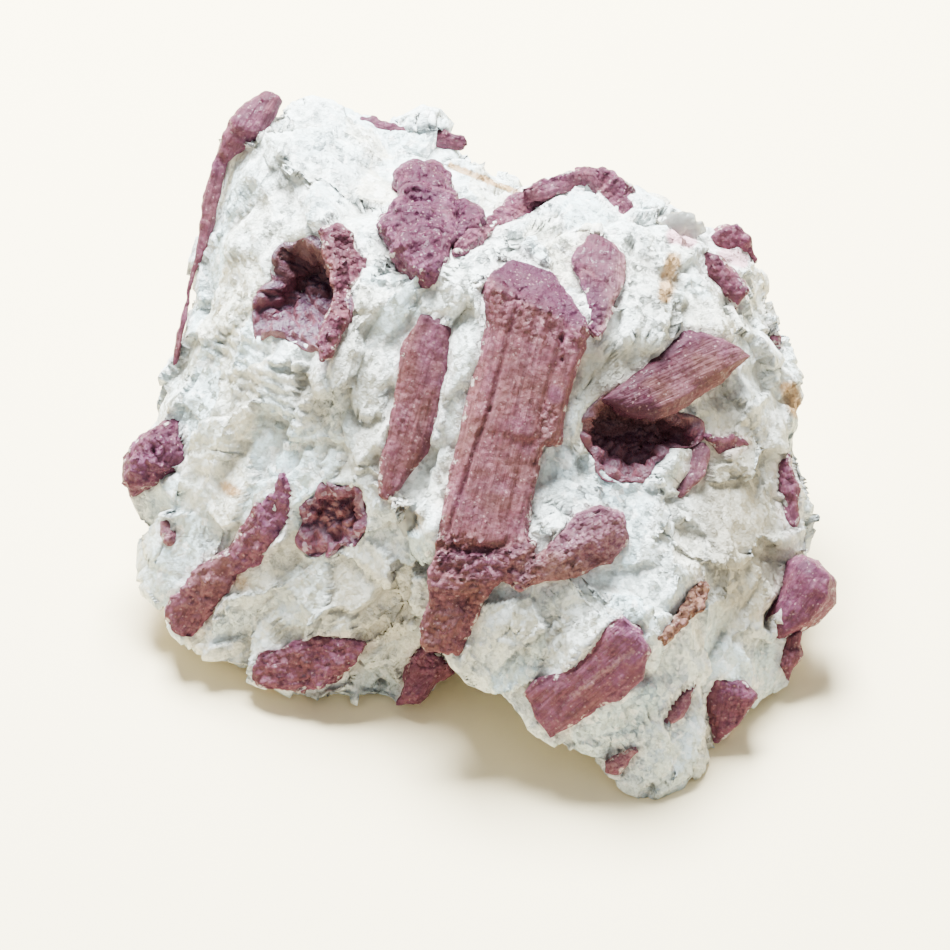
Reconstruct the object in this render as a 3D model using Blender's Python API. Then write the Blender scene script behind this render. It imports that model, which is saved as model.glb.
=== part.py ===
"""Pink tourmaline crystals in a chunk of white feldspar: a hand-sized mineral specimen.

The specimen lies on a table. +Z is up, +X is its long side, and its best face looks towards -Y and up.
Every size is in metres unless its name ends in _MM.
"""

import bmesh
import bpy
import numpy as np
from mathutils import Vector

# driving dimensions
MM = 0.001
GAP = 0.0003  # air between a crystal and its socket
LEAN = np.radians(45.0)  # the best face leans back by this much from upright
FLOOR_MM = 24.0  # the table lies this far below the stone's inner centre
CENTRE_MM = np.array([0.23, 1.45])  # of the whole specimen in X and Y, from the stone's inner centre
STONE_CUTS = 2  # each edge between two corners of the stone is cut this many times
BLOCK_MM = 9.0  # usual width of a cleaved block
BLOCK_STEP_MM = 1.5  # how far one block stands above the next
BLOCK_TILT = 0.22  # slope of a block's face against its neighbours
SPREAD = 0.022  # corners are softened over this share of the way round
STEP_MM = 4.0  # the stone's slope round a hollow is taken this far either side of its middle
BRIDGE = 0.7  # share of a bump under a crystal that lifts the crystal
RINGS = 5  # rings of faces from tip to tip of a crystal
LEAST_DROP = 0.05  # directions that fall less than this never meet the table
SEARCH_MM = 0.25  # the stone's face is found to this
CORE = 0.55  # share of a corner that stays sharp

# Corners of the stone, in millimetres in the leaning frame of the best face:
# right, up along the lean, and out from the face.
OUTLINE = [
    (-29.8, 42.6, -8.0), (-24.1, 43.8, -10.0), (-16.0, 41.2, -13.0), (-7.2, 39.8, -14.0),
    (-2.2, 38.4, -12.0), (2.4, 34.0, -9.0), (5.2, 32.0, -7.0), (10.2, 33.4, -5.0),
    (17.8, 33.6, -5.0), (21.0, 30.6, -7.0), (28.4, 27.4, -9.0), (34.0, 25.2, -12.0),
    (36.4, 18.6, -12.0), (39.2, 11.6, -11.0), (41.4, 6.2, -9.0), (39.8, 0.6, -7.0),
    (42.4, -9.6, -6.0), (42.0, -15.8, -4.0), (40.0, -24.6, -3.0), (38.2, -30.0, -2.0),
    (33.8, -33.8, 1.0), (28.8, -37.6, 4.0), (27.2, -42.2, 8.2), (23.0, -43.8, 9.8),
    (16.6, -41.2, 10.6), (10.0, -37.8, 11.0), (3.2, -31.6, 12.4), (-2.6, -26.6, 12.6),
    (-4.6, -30.6, -2.6), (-10.0, -32.8, -1.2), (-18.6, -31.8, -0.6), (-27.2, -29.2, -0.6),
    (-34.6, -26.2, -2.0), (-39.4, -20.6, -5.0), (-42.0, -18.6, -7.0), (-42.0, -12.0, -8.0),
    (-44.0, -4.4, -9.0), (-40.6, 3.0, -9.0), (-38.4, 9.8, -10.0), (-36.0, 21.6, -11.0),
    (-32.2, 38.0, -10.0),
]
FRONT = [
    (-21.0, 32.0, 0.5), (-30.0, 20.0, -1.0), (-15.0, 27.0, 3.0), (-17.4, 20.4, 7.5),
    (-19.4, 10.4, 8.5), (-16.4, -1.0, 9.5), (-9.6, 20.0, 10.0), (-1.4, 22.0, 10.5),
    (-9.0, -8.5, 10.0), (-18.4, -18.4, 5.5), (-28.4, -14.0, 3.0), (-34.4, -7.0, -0.5),
    (-31.0, 6.0, 1.0), (-36.0, -18.0, -1.2), (-22.0, -27.0, 2.6), (-8.0, -26.4, 2.0),
    (-5.5, -19.0, 8.5), (-5.0, -11.0, 14.0), (0.5, 18.0, 12.0), (14.4, 16.4, 11.0),
    (8.0, -12.0, 16.0), (-1.0, -21.5, 14.5), (16.0, 24.0, 7.0), (23.4, 15.0, 9.0),
    (33.8, 13.6, -1.0), (32.4, 20.0, -3.5), (26.8, 1.6, 7.0), (12.0, -3.0, 12.5),
    (21.5, -5.6, 11.5), (12.6, -14.0, 15.5), (25.5, -15.1, 14.5), (17.0, -24.0, 17.0),
    (13.0, -33.0, 15.0), (31.4, -14.0, 8.0), (36.4, -20.0, 3.0), (28.0, -29.6, 9.8),
    (33.0, -4.6, 3.6), (37.8, 0.6, -1.6), (6.0, -27.0, 15.0), (2.0, 28.0, 3.0),
    (-9.0, 31.0, -2.5), (20.0, 27.4, 3.0), (9.6, 29.0, 2.0), (23.4, -22.0, 15.4),
]
BACK = [
    (-30.0, 27.0, -20.0), (-13.0, 33.0, -24.0), (8.0, 31.0, -20.0), (27.0, 20.0, -22.0),
    (37.0, 8.0, -17.0), (-37.0, 8.0, -18.0), (-24.0, 12.0, -29.0), (-2.0, 17.0, -34.0),
    (20.0, 10.0, -31.0), (34.0, -6.0, -20.0), (-37.0, -8.0, -18.0), (-21.0, 38.0, -16.0),
    (-3.0, 36.0, -17.0), (17.0, 31.0, -14.0), (31.0, 23.0, -16.0), (-8.0, 26.0, -29.0),
    (12.0, 22.0, -31.0), (-33.0, 18.0, -26.0), (30.0, 9.0, -26.0), (-15.0, 6.0, -37.0),
    (7.0, 7.0, -33.0),
]
UNDERCUT = [(-2.6, -22.6, -2.0), (3.0, -24.4, -3.0), (9.6, -28.6, -2.6)]
BASE = [  # a little under the table, which cuts the stone off flat
    (-28.0, -3.0, -33.0), (-8.0, 1.0, -37.0), (14.0, -3.0, -33.0), (27.0, -11.0, -25.0),
    (32.0, -25.0, -11.0), (26.0, -39.0, 3.0), (20.0, -41.6, 6.4), (13.0, -32.0, -4.0),
    (1.0, -23.0, -13.0), (-10.0, -31.0, -5.0), (-22.0, -29.0, -7.0), (-33.0, -17.0, -19.0),
]


def leaning(points_mm):
    """Turns (right, up, out) of the leaning frame, in millimetres, into metres of the specimen."""
    points = np.asarray(points_mm, float)
    right, up, out = points[..., 0], points[..., 1], points[..., 2]
    x = right - CENTRE_MM[0]
    y = up * np.sin(LEAN) - out * np.cos(LEAN) - CENTRE_MM[1]
    z = up * np.cos(LEAN) + out * np.sin(LEAN) + FLOOR_MM
    return np.stack([x, y, z], axis=-1) * MM


def corner_faces(corners):
    """The triangles between the corners: the hull of their directions from the inner centre."""
    shell = bmesh.new()
    for corner in corners:
        shell.verts.new(Vector(corner).normalized())
    shell.verts.index_update()
    hull = bmesh.ops.convex_hull(shell, input=shell.verts)
    faces = [item for item in hull["geom"] if isinstance(item, bmesh.types.BMFace)]
    triangles = np.array([[vert.index for vert in face.verts] for face in faces])
    shell.free()
    return triangles


def flat_reach(directions, corners, triangles):
    """How far each direction goes before it meets the flat faces between the corners."""
    reach = np.zeros(len(directions))
    for triangle in triangles:
        shares = directions @ np.linalg.inv(corners[triangle])
        meets = shares.min(axis=1) > -1e-7
        reach[meets] = 1 / shares[meets].sum(axis=1)
    return reach


def hashed(cells, seed):
    """Three numbers from 0 to 1 for each cell of a lattice, the same each time."""
    turned = cells @ np.array([127.1, 311.7, 74.7]) + seed * 17.3
    waves = turned[..., None] * np.array([1.0, 1.31, 1.73])
    return np.modf(np.abs(np.sin(waves)) * 43758.5453)[0]


def blocks(points, size, seed):
    """Height of cleaved blocks: each has a level of its own and a face with a slope of its own."""
    cells = np.floor(points / size)
    nearest = np.full(len(points), np.inf)
    height = np.zeros(len(points))
    for step in np.ndindex(3, 3, 3):
        cell = cells + np.array(step) - 1
        middle = (cell + hashed(cell, seed)) * size
        away = points - middle
        distance = (away**2).sum(axis=1)
        level = hashed(cell, seed + 5) - 0.5
        closer = distance < nearest
        tilted = level[:, 0] * BLOCK_STEP_MM + BLOCK_TILT * (away * level).sum(axis=1)
        height = np.where(closer, tilted, height)
        nearest = np.where(closer, distance, nearest)
    return height


def stone_reach(directions):
    """Reach of the stone in millimetres: flat faces with softened edges, and cleaved blocks on them."""
    corners = np.array(OUTLINE + FRONT + UNDERCUT + BACK + BASE)
    triangles = corner_faces(corners)
    reach = CORE * flat_reach(directions, corners, triangles)
    for axis in np.eye(3):
        for side in (-SPREAD, SPREAD):
            nudged = directions + side * axis
            nudged /= np.linalg.norm(nudged, axis=1, keepdims=True)
            reach += (1 - CORE) / 6 * flat_reach(nudged, corners, triangles)
    reach += blocks(directions * reach[:, None], BLOCK_MM, seed=3)
    drop = -(directions[:, 1] * np.cos(LEAN) + directions[:, 2] * np.sin(LEAN))
    return np.minimum(reach, FLOOR_MM / np.maximum(drop, LEAST_DROP))


def surface_out(right, up, facing=1):
    """How far out the stone's face stands at a place given by right and up; facing -1 is the back."""
    outs = facing * np.arange(45.0, -10.0, -SEARCH_MM)
    line = np.stack([np.full_like(outs, right), np.full_like(outs, up), outs], axis=1)
    lengths = np.linalg.norm(line, axis=1)
    inside = stone_reach(line / lengths[:, None]) > lengths
    if not inside.any():
        raise ValueError(f"nothing of the stone lies at {right}, {up}")
    return outs[inside.argmax()]


def painted(name, color, roughness):
    """A plain Principled material."""
    material = bpy.data.materials.new(name)
    material.use_nodes = True
    shader = material.node_tree.nodes["Principled BSDF"]
    shader.inputs["Base Color"].default_value = (*color, 1.0)
    shader.inputs["Roughness"].default_value = roughness
    shader.inputs["Metallic"].default_value = 0.0
    return material


def placed(name, shape, material=None, helper=False):
    """Makes an object of a bmesh. A helper only cuts or joins, and isn't part of the specimen."""
    bmesh.ops.triangulate(shape, faces=shape.faces)
    mesh = bpy.data.meshes.new(name)
    shape.to_mesh(mesh)
    shape.free()
    thing = bpy.data.objects.new(name, mesh)
    bpy.context.scene.collection.objects.link(thing)
    if material:
        mesh.materials.append(material)
    if helper:
        thing.hide_render = True
        thing.display_type = "WIRE"
    return thing


def boolean(target, operation, other):
    """Adds an exact Boolean to an object."""
    modifier = target.modifiers.new(other.name, "BOOLEAN")
    modifier.operation = operation
    modifier.solver = "EXACT"
    modifier.object = other


def stone_shape():
    """The faces between the corners, cut fine, with each point moved out to the stone's surface."""
    corners = np.array(OUTLINE + FRONT + UNDERCUT + BACK + BASE)
    shape = bmesh.new()
    verts = [shape.verts.new(corner) for corner in corners]
    for triangle in corner_faces(corners):
        shape.faces.new([verts[index] for index in triangle])
    shape.normal_update()
    bmesh.ops.recalc_face_normals(shape, faces=shape.faces)
    bmesh.ops.subdivide_edges(shape, edges=shape.edges, cuts=STONE_CUTS, use_grid_fill=True)
    directions = np.array([vert.co.normalized() for vert in shape.verts])
    points = leaning(directions * stone_reach(directions)[:, None])
    for vert, point in zip(shape.verts, points):
        vert.co = point
    return shape


class Lump:
    """A crystal or part of one: a body along an axis, many-sided across, with rounded or flat ends.

    start and end are (right, up) of its tips on the face, and width its half widths there.
    rise is how far its face stands proud of the stone, deep its depth as a share of its width,
    square how flat its ends are (2 is an egg, 10 a cut prism), sides how many faces it has round
    and turn how far they are turned. out gives the depths of its face at both tips where the stone's
    own can't be used, and facing -1 puts it on the back. slant cuts a tip off: a point and the
    direction away from what stays.
    """

    def __init__(self, start, end, width, rise=0.8, deep=0.8, square=6.0, sides=6, turn=0.0,
                 out=None, facing=1, slant=None, rings=RINGS):
        self.start, self.end, self.width = start, end, width
        self.rise, self.deep, self.square = rise, deep, square
        self.sides, self.turn, self.rings = sides, turn, rings
        self.out, self.facing, self.slant = out, facing, slant

    def outs(self):
        """Depths of the stone's face under its tips, from a straight line laid along the stone."""
        if self.out is not None:
            return self.out
        shares = np.linspace(0.1, 0.9, 5)
        places = np.outer(1 - shares, self.start) + np.outer(shares, self.end)
        levels = np.array([surface_out(*place, self.facing) for place in places]) * self.facing
        slope, base = np.polyfit(shares, levels, 1)
        lift = (levels - base - slope * shares).max() * BRIDGE
        return self.facing * (base + lift), self.facing * (base + slope + lift)

    def shape(self, grow=0.0):
        """Its surface as a bmesh, larger all round by grow millimetres."""
        tips = []
        for place, out, width in zip((self.start, self.end), self.outs(), self.width):
            tips.append(Vector((*place, out + self.facing * (self.rise - width * self.deep))))
        middle = (tips[0] + tips[1]) / 2
        along = tips[1] - tips[0]
        half = along.length / 2 + grow
        along.normalize()
        across = along.cross(Vector((0, 0, self.facing))).normalized()
        outward = across.cross(along)
        shape = bmesh.new()
        bmesh.ops.create_uvsphere(shape, u_segments=self.sides, v_segments=self.rings, radius=1.0)
        for vert in shape.verts:
            ring = np.hypot(vert.co.x, vert.co.y)
            angle = np.arctan2(vert.co.y, vert.co.x) + self.turn
            height = np.sign(vert.co.z) * abs(vert.co.z) ** (2 / self.square)
            share = (height + 1) / 2
            width = self.width[0] + (self.width[1] - self.width[0]) * share
            reach = ring ** (2 / self.square)
            spot = middle + along * half * height
            spot += across * np.cos(angle) * (width + grow) * reach
            spot -= outward * np.sin(angle) * (width * self.deep + grow) * reach
            vert.co = spot
        if self.slant:
            point, away = (Vector(item) for item in self.slant)
            point = point + away.normalized() * grow
            whole = shape.verts[:] + shape.edges[:] + shape.faces[:]
            cut = bmesh.ops.bisect_plane(shape, geom=whole, plane_co=point, plane_no=away, clear_outer=True)
            rim = [item for item in cut["geom_cut"] if isinstance(item, bmesh.types.BMEdge)]
            bmesh.ops.contextual_create(shape, geom=rim)
        shape.normal_update()
        bmesh.ops.recalc_face_normals(shape, faces=shape.faces)
        for vert in shape.verts:
            vert.co = leaning(vert.co)
        return shape


class Hollow:
    """A hollow lined with small crystals: an egg sunk in the stone, with a bowl of crystals in it.

    middle is (right, up) of its mouth, width its half widths across and along, depth how deep it
    goes, sink how far its widest place lies under the stone's face, wall the crust's thickness and
    points how far its small crystals stand out, and fine how many times its faces are quartered.
    """

    def __init__(self, middle, width, depth, sink=1.0, wall=1.3, points=0.5, fine=3, seed=1):
        self.middle, self.width, self.depth = middle, width, depth
        self.sink, self.wall, self.points, self.fine, self.seed = sink, wall, points, fine, seed

    def egg(self, level, thinner, taller, rough=0.0):
        """One of its surfaces: an egg smaller by thinner all round, and taller towards the mouth."""
        right, up = self.middle
        slope_right = (surface_out(right + STEP_MM, up) - surface_out(right - STEP_MM, up)) / (2 * STEP_MM)
        slope_up = (surface_out(right, up + STEP_MM) - surface_out(right, up - STEP_MM)) / (2 * STEP_MM)
        outward = Vector((-slope_right, -slope_up, 1)).normalized()
        across = outward.cross(Vector((0, -1, 0))).normalized()
        middle = Vector((right, up, surface_out(right, up))) - outward * self.sink
        chance = np.random.default_rng(self.seed)
        shape = bmesh.new()
        bmesh.ops.create_icosphere(shape, subdivisions=level, radius=1.0)
        for vert in shape.verts:
            spot = vert.co + vert.co * chance.uniform(-rough, rough) / self.depth
            height = (self.depth - thinner) * (taller if spot.z > 0 else 1)
            place = middle + across * spot.x * (self.width[0] - thinner) + outward * spot.z * height
            place += outward.cross(across) * spot.y * (self.width[1] - thinner)
            vert.co = leaning(place)
        return shape

    def shape(self, grow=0.0):
        """The outside of the bowl, larger all round by grow millimetres."""
        return self.egg(2, -grow, 1)

    def inside(self):
        """What the bowl is emptied by."""
        return self.egg(self.fine, self.wall, 4, self.points)


CRYSTALS = {
    "main_prism": [
        Lump((9.4, 24.8), (0.6, -13.4), (6.4, 6.8), rise=3.0, deep=0.8, square=10, sides=8, turn=0.39,
             out=(12.0, 15.0), rings=7, slant=((7.4, 16.6, 15.4), (0.34, 0.76, 0.55))),
        Lump((-4.6, -15.6), (6.8, -16.6), (3.2, 3.2), rise=1.2, square=4, out=(15.0, 16.0)),
        Lump((-1.6, -14.0), (-4.6, -26.4), (4.0, 3.3), rise=1.2, square=6, out=(15.6, 13.6)),
        Lump((5.4, -16.6), (17.8, -9.4), (3.9, 4.3), rise=2.0, square=5),
    ],
    "slim_prism": [Lump((-5.8, 16.4), (-11.8, -6.9), (3.3, 1.5), rise=1.5, square=6)],
    "shoulder_crystal": [Lump((16.0, 26.3), (15.0, 13.4), (3.4, 1.5), rise=1.6, square=4)],
    "cave_prism": [Lump((33.9, 11.6), (15.4, 3.4), (4.3, 3.7), rise=2.4, square=9)],
    "brow_prism": [Lump((19.2, -23.6), (7.6, -34.0), (4.4, 4.1), rise=1.3, square=8)],
    "left_long_prism": [Lump((-23.8, -4.0), (-37.0, -22.4), (2.7, 3.4), rise=1.2, square=6)],
    "ridge_crystal": [
        Lump((-3.0, 24.0), (6.0, 31.4), (1.7, 1.6), rise=1.4, square=6),
        Lump((4.8, 30.8), (15.4, 33.2), (1.5, 1.5), rise=1.2, square=6, out=(-0.5, -3.5)),
        Lump((14.0, 34.0), (18.0, 28.4), (2.8, 2.9), rise=1.6, square=3, sides=7, out=(-3.0, -0.5)),
    ],
    "upper_cluster": [
        Lump((-6.6, 35.0), (-6.6, 28.8), (4.1, 4.3), rise=2.4, square=3, sides=8),
        Lump((-7.1, 30.4), (-7.0, 20.8), (4.9, 5.2), rise=2.8, square=3, sides=8),
        Lump((-0.5, 30.0), (-1.0, 25.4), (2.0, 2.0), rise=1.8, square=3),
    ],
    "edge_prism": [
        Lump((-31.2, 40.6), (-37.9, 9.6), (1.2, 0.9), rise=0.0, square=8, out=(-7.6, -7.6)),
        Lump((-29.0, 39.1), (-26.2, 43.6), (2.7, 2.4), rise=0.0, square=3, sides=7, out=(-5.6, -7.6)),
        Lump((-31.9, 37.6), (-29.4, 41.4), (1.5, 1.6), rise=0.0, square=3, out=(-6.6, -6.0)),
    ],
    "crest_prism": [Lump((-15.2, 40.4), (-1.6, 37.9), (1.3, 1.3), rise=0.4, square=8, out=(-11.4, -10.8))],
    "left_knob": [Lump((-39.8, 3.4), (-42.4, -6.8), (3.6, 3.9), rise=0.0, deep=1.0, square=3, sides=7,
                       out=(-3.4, -3.4))],
    "left_bud": [Lump((-39.3, -8.9), (-38.3, -12.9), (1.6, 1.5), rise=0.8, square=3)],
    "hollow_column": [Lump((-17.3, 27.0), (-16.6, 13.2), (2.7, 1.9), rise=1.0, square=4)],
    "corner_knob": [Lump((28.0, 27.2), (34.8, 24.0), (2.3, 2.2), rise=1.2, square=3, sides=7, out=(-7.0, -9.6))],
    "corner_crystal": [Lump((29.3, 23.2), (32.5, 17.4), (2.6, 2.5), rise=1.2, square=7)],
    "right_sliver": [Lump((37.2, 15.2), (38.4, 12.4), (0.9, 0.9), rise=0.2, square=4, out=(-9.0, -9.0))],
    "cave_blade": [Lump((28.0, 1.0), (25.4, -6.2), (1.4, 1.2), rise=0.7, square=5)],
    "cave_sliver": [Lump((29.4, -0.3), (33.6, 0.1), (1.0, 0.9), rise=0.6, square=4)],
    "side_prism": [Lump((38.4, -1.4), (39.8, -11.6), (1.8, 1.7), rise=0.4, square=6, out=(-2.4, -2.0))],
    "side_knob": [Lump((43.2, -16.4), (38.0, -24.2), (4.2, 4.2), rise=0.0, deep=0.9, square=7, out=(2.6, 2.6))],
    "side_bud": [Lump((39.2, -24.4), (38.3, -29.4), (1.7, 1.5), rise=0.0, square=4, out=(0.6, 0.6))],
    "foot_crystal": [Lump((31.5, -28.2), (30.4, -35.6), (3.3, 2.9), rise=1.2, square=5, out=(7.6, 5.6))],
    "rusty_sliver": [Lump((28.6, -16.8), (22.7, -24.3), (1.0, 0.9), rise=0.6, square=5)],
    "toe_blade": [Lump((26.3, -30.3), (23.2, -34.7), (1.1, 1.0), rise=0.6, square=4)],
    "toe_sliver": [Lump((19.6, -37.8), (15.6, -40.4), (1.1, 1.0), rise=0.6, square=4)],
    "lower_left_crystal": [Lump((-14.4, -24.6), (-27.4, -28.8), (3.2, 3.5), rise=1.0, square=5)],
    "bottom_crystal": [Lump((-2.8, -26.0), (-8.8, -31.4), (2.8, 2.5), rise=0.4, square=5, out=(3.6, 2.6))],
    "back_long_prism": [Lump((-25.0, 25.0), (-13.0, 8.0), (3.4, 3.0), rise=1.2, square=8, facing=-1)],
    "back_round_crystal": [Lump((4.0, 27.0), (10.0, 22.0), (3.2, 3.0), rise=1.2, square=3, sides=7, facing=-1)],
    "back_slim_prism": [Lump((14.0, 19.0), (27.0, 6.0), (2.0, 1.5), rise=0.9, square=6, facing=-1)],
    "back_low_crystal": [Lump((2.0, 13.0), (9.0, 8.0), (2.6, 2.2), rise=1.0, square=5, facing=-1)],
    "back_bud": [Lump((-30.0, 12.0), (-32.0, 7.0), (2.0, 1.8), rise=0.9, square=3, facing=-1)],
    "back_crest_prism": [Lump((20.0, 26.0), (27.0, 22.0), (1.8, 1.8), rise=0.8, square=7, facing=-1)],
}
GRAINS = {
    "upper_quartz": [Lump((23.0, 27.8), (28.2, 26.0), (1.9, 1.6), rise=0.8, square=3)],
    "lower_quartz": [Lump((-9.4, -8.0), (-8.4, -10.6), (1.1, 1.0), rise=0.3, square=3)],
}
CRUSTS = {
    "upper_hollow_crust": Hollow((-22.4, 19.0), (5.7, 6.6), 6.0, sink=1.6, seed=4),
    "cave_crust": Hollow((20.8, 0.2), (7.2, 5.4), 7.0, sink=1.6, seed=6),
    "middle_hollow_crust": Hollow((-18.0, -9.8), (4.3, 4.8), 3.6, seed=8, wall=1.1, points=0.35, fine=2),
}
STOPS_AT = {  # where two crystals meet, the first ends at the other's socket
    "shoulder_crystal": ["main_prism_socket_1"],
    "ridge_crystal": ["upper_cluster_socket_2", "upper_cluster_socket_3"],
    "side_bud": ["side_knob_socket_1"],
    "upper_hollow_crust": ["hollow_column_socket_1"],
    "cave_crust": ["cave_prism_socket_1", "cave_blade_socket_1"],
}


def build():
    """Models the specimen: crystals and crusts first, then the stone with a socket for each."""
    pink = painted("tourmaline", (0.42, 0.13, 0.17), 0.45)
    clear = painted("quartz", (0.72, 0.74, 0.74), 0.2)
    purple = painted("tourmaline crust", (0.22, 0.05, 0.10), 0.4)
    white = painted("feldspar", (0.80, 0.79, 0.74), 0.65)
    gap = GAP / MM
    sockets = bpy.data.collections.new("sockets")
    for family, material in ((CRYSTALS, pink), (GRAINS, clear)):
        for name, lumps in family.items():
            crystal = placed(name, lumps[0].shape(), material)
            for number, lump in enumerate(lumps[1:], 2):
                boolean(crystal, "UNION", placed(f"{name}_join_{number}", lump.shape(), helper=True))
            for number, lump in enumerate(lumps, 1):
                sockets.objects.link(placed(f"{name}_socket_{number}", lump.shape(gap), helper=True))
    for name, hollow in CRUSTS.items():
        crust = placed(name, hollow.shape(), purple)
        boolean(crust, "DIFFERENCE", placed(f"{name}_inside", hollow.inside(), helper=True))
        sockets.objects.link(placed(f"{name}_socket", hollow.shape(gap), helper=True))
    for name, neighbours in STOPS_AT.items():
        for neighbour in neighbours:
            boolean(bpy.data.objects[name], "DIFFERENCE", bpy.data.objects[neighbour])
    stone = placed("matrix", stone_shape(), white)
    cut = stone.modifiers.new("sockets", "BOOLEAN")
    cut.operation = "DIFFERENCE"
    cut.solver = "EXACT"
    cut.operand_type = "COLLECTION"
    cut.collection = sockets


for thing in list(bpy.data.objects):
    bpy.data.objects.remove(thing, do_unlink=True)
build()
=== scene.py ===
"""Finishes a tourmaline specimen: pink crystals grown in a chunk of white feldspar.

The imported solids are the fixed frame. Each piece here is a fine surface that stands for a solid. It is
worked out with numpy in the leaning frame of the specimen's best face, in millimetres: right, up along
the lean, and out from the face. leaning() turns that frame into the specimen's own, in metres.
"""

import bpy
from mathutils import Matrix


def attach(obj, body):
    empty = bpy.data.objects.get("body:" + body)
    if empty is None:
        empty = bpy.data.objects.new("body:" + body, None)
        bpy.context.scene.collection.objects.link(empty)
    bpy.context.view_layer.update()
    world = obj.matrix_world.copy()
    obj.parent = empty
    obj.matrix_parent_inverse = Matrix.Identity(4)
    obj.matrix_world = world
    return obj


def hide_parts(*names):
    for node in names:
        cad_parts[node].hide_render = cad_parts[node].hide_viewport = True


bl_info = {
    "name": "Tourmaline Specimen",
    "version": (1, 0, 0),
    "blender": (4, 5, 0),
    "location": "3D View > Sidebar > Specimen",
    "description": "Fine surfaces and finishes for tourmaline crystals in feldspar",
    "category": "Object",
}

import bmesh
import bpy
import numpy as np
from mathutils import Vector

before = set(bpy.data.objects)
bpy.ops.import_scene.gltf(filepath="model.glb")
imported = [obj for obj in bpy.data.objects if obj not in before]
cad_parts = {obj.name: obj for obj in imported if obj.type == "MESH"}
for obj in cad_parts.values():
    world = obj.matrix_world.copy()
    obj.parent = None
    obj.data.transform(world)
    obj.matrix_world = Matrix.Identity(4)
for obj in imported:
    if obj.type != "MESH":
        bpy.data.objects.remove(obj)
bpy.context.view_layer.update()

# The frame of the best face, and the stone's form in it, as in the solids
MM = 0.001
LEAN = np.radians(45.0)  # the best face leans back by this much from upright
FLOOR_MM = 24.0  # the table lies this far below the stone's inner centre
CENTRE_MM = np.array([0.23, 1.45])  # of the whole specimen in X and Y, from the stone's inner centre
BLOCK_MM = 9.0  # usual width of a cleaved block
BLOCK_STEP_MM = 1.5  # how far one block stands above the next
BLOCK_TILT = 0.22  # slope of a block's face against its neighbours
SPREAD = 0.022  # corners are softened over this share of the way round
CORE = 0.55  # share of a corner that stays sharp
BRIDGE = 0.7  # share of a bump under a crystal that lifts the crystal
LEAST_DROP = 0.05  # directions that fall less than this never meet the table
SEARCH_MM = 0.25  # the stone's face is found to this
NEAREST_MM, FARTHEST_MM = 45.0, -10.0  # and looked for between these depths
OUT = np.array([0.0, 0.0, 1.0])  # away from the best face
DOWN = np.array([0.0, -np.cos(LEAN), -np.sin(LEAN)])  # towards the table

# The fine surfaces
CLEAVAGE = np.array([0.42, 0.84, 0.34])  # cleaved grains are longer this way
LAYERED = np.array([0.15, 1.0, 0.35])  # the stone's thin layers lie square to this
MOST_MM = 1.5  # the stone's relief levels off towards this height
FREE_MM = 0.35  # a crystal with an outline that rises less than this stands free of the stone
BLUNT = 16.0  # how flat the ends of a crystal with an outline are
STATIONS = 90  # places along a crystal where its outline is measured
CLOSE_MM = 7.0  # stone farther than this from a crystal's face is left as it is
GAP_MM = 0.45  # stone that would cover a crystal ends this far below its face
SKIN_MM = 1.5  # feldspar clings to a crystal this far in from its edges
INNER_MM = 3.0  # usual depth of a crystal, for telling which of its lumps a point is on
STEP_MM = 4.0  # the stone's slope round a hollow is taken this far either side of its middle
LINING_MM = 0.7  # thickness of a hollow's lining
SUNK_MM = 1.4  # the stone lies this far below a lining's face

# The stage, in metres
FRAME_WIDTH_MM = 118.75  # width of the view at the stone's inner centre
AIM_MM = (-0.375, -3.875, 0.0)  # the middle of the view
FLOOR_HALF = 3.0
LAMP_PLACE = Vector((-0.05, 0.29, 0.47))
LAMP_SIZE = 0.28
LAMP_COLOR = (0.92, 0.99, 1.0)
SKY_COLOR = (0.94, 1.0, 1.0, 1.0)
FAR_CLIP = 20.0

# The stone's corners, in order: round its outline, on the best face, on the back and under the notch
OUTLINE = [
    (-29.8, 42.6, -8), (-24.1, 43.8, -10), (-16, 41.2, -13), (-7.2, 39.8, -14), (-2.2, 38.4, -12),
    (2.4, 34, -9), (5.2, 32, -7), (10.2, 33.4, -5), (17.8, 33.6, -5), (21, 30.6, -7), (28.4, 27.4, -9),
    (34, 25.2, -12), (36.4, 18.6, -12), (39.2, 11.6, -11), (41.4, 6.2, -9), (39.8, 0.6, -7),
    (42.4, -9.6, -6), (42, -15.8, -4), (40, -24.6, -3), (38.2, -30, -2), (33.8, -33.8, 1), (28.8, -37.6, 4),
    (27.2, -42.2, 8.2), (23, -43.8, 9.8), (16.6, -41.2, 10.6), (10, -37.8, 11), (3.2, -31.6, 12.4),
    (-2.6, -26.6, 12.6), (-4.6, -30.6, -2.6), (-10, -32.8, -1.2), (-18.6, -31.8, -0.6),
    (-27.2, -29.2, -0.6), (-34.6, -26.2, -2), (-39.4, -20.6, -5), (-42, -18.6, -7), (-42, -12, -8),
    (-44, -4.4, -9), (-40.6, 3, -9), (-38.4, 9.8, -10), (-36, 21.6, -11), (-32.2, 38, -10),
]
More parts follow.
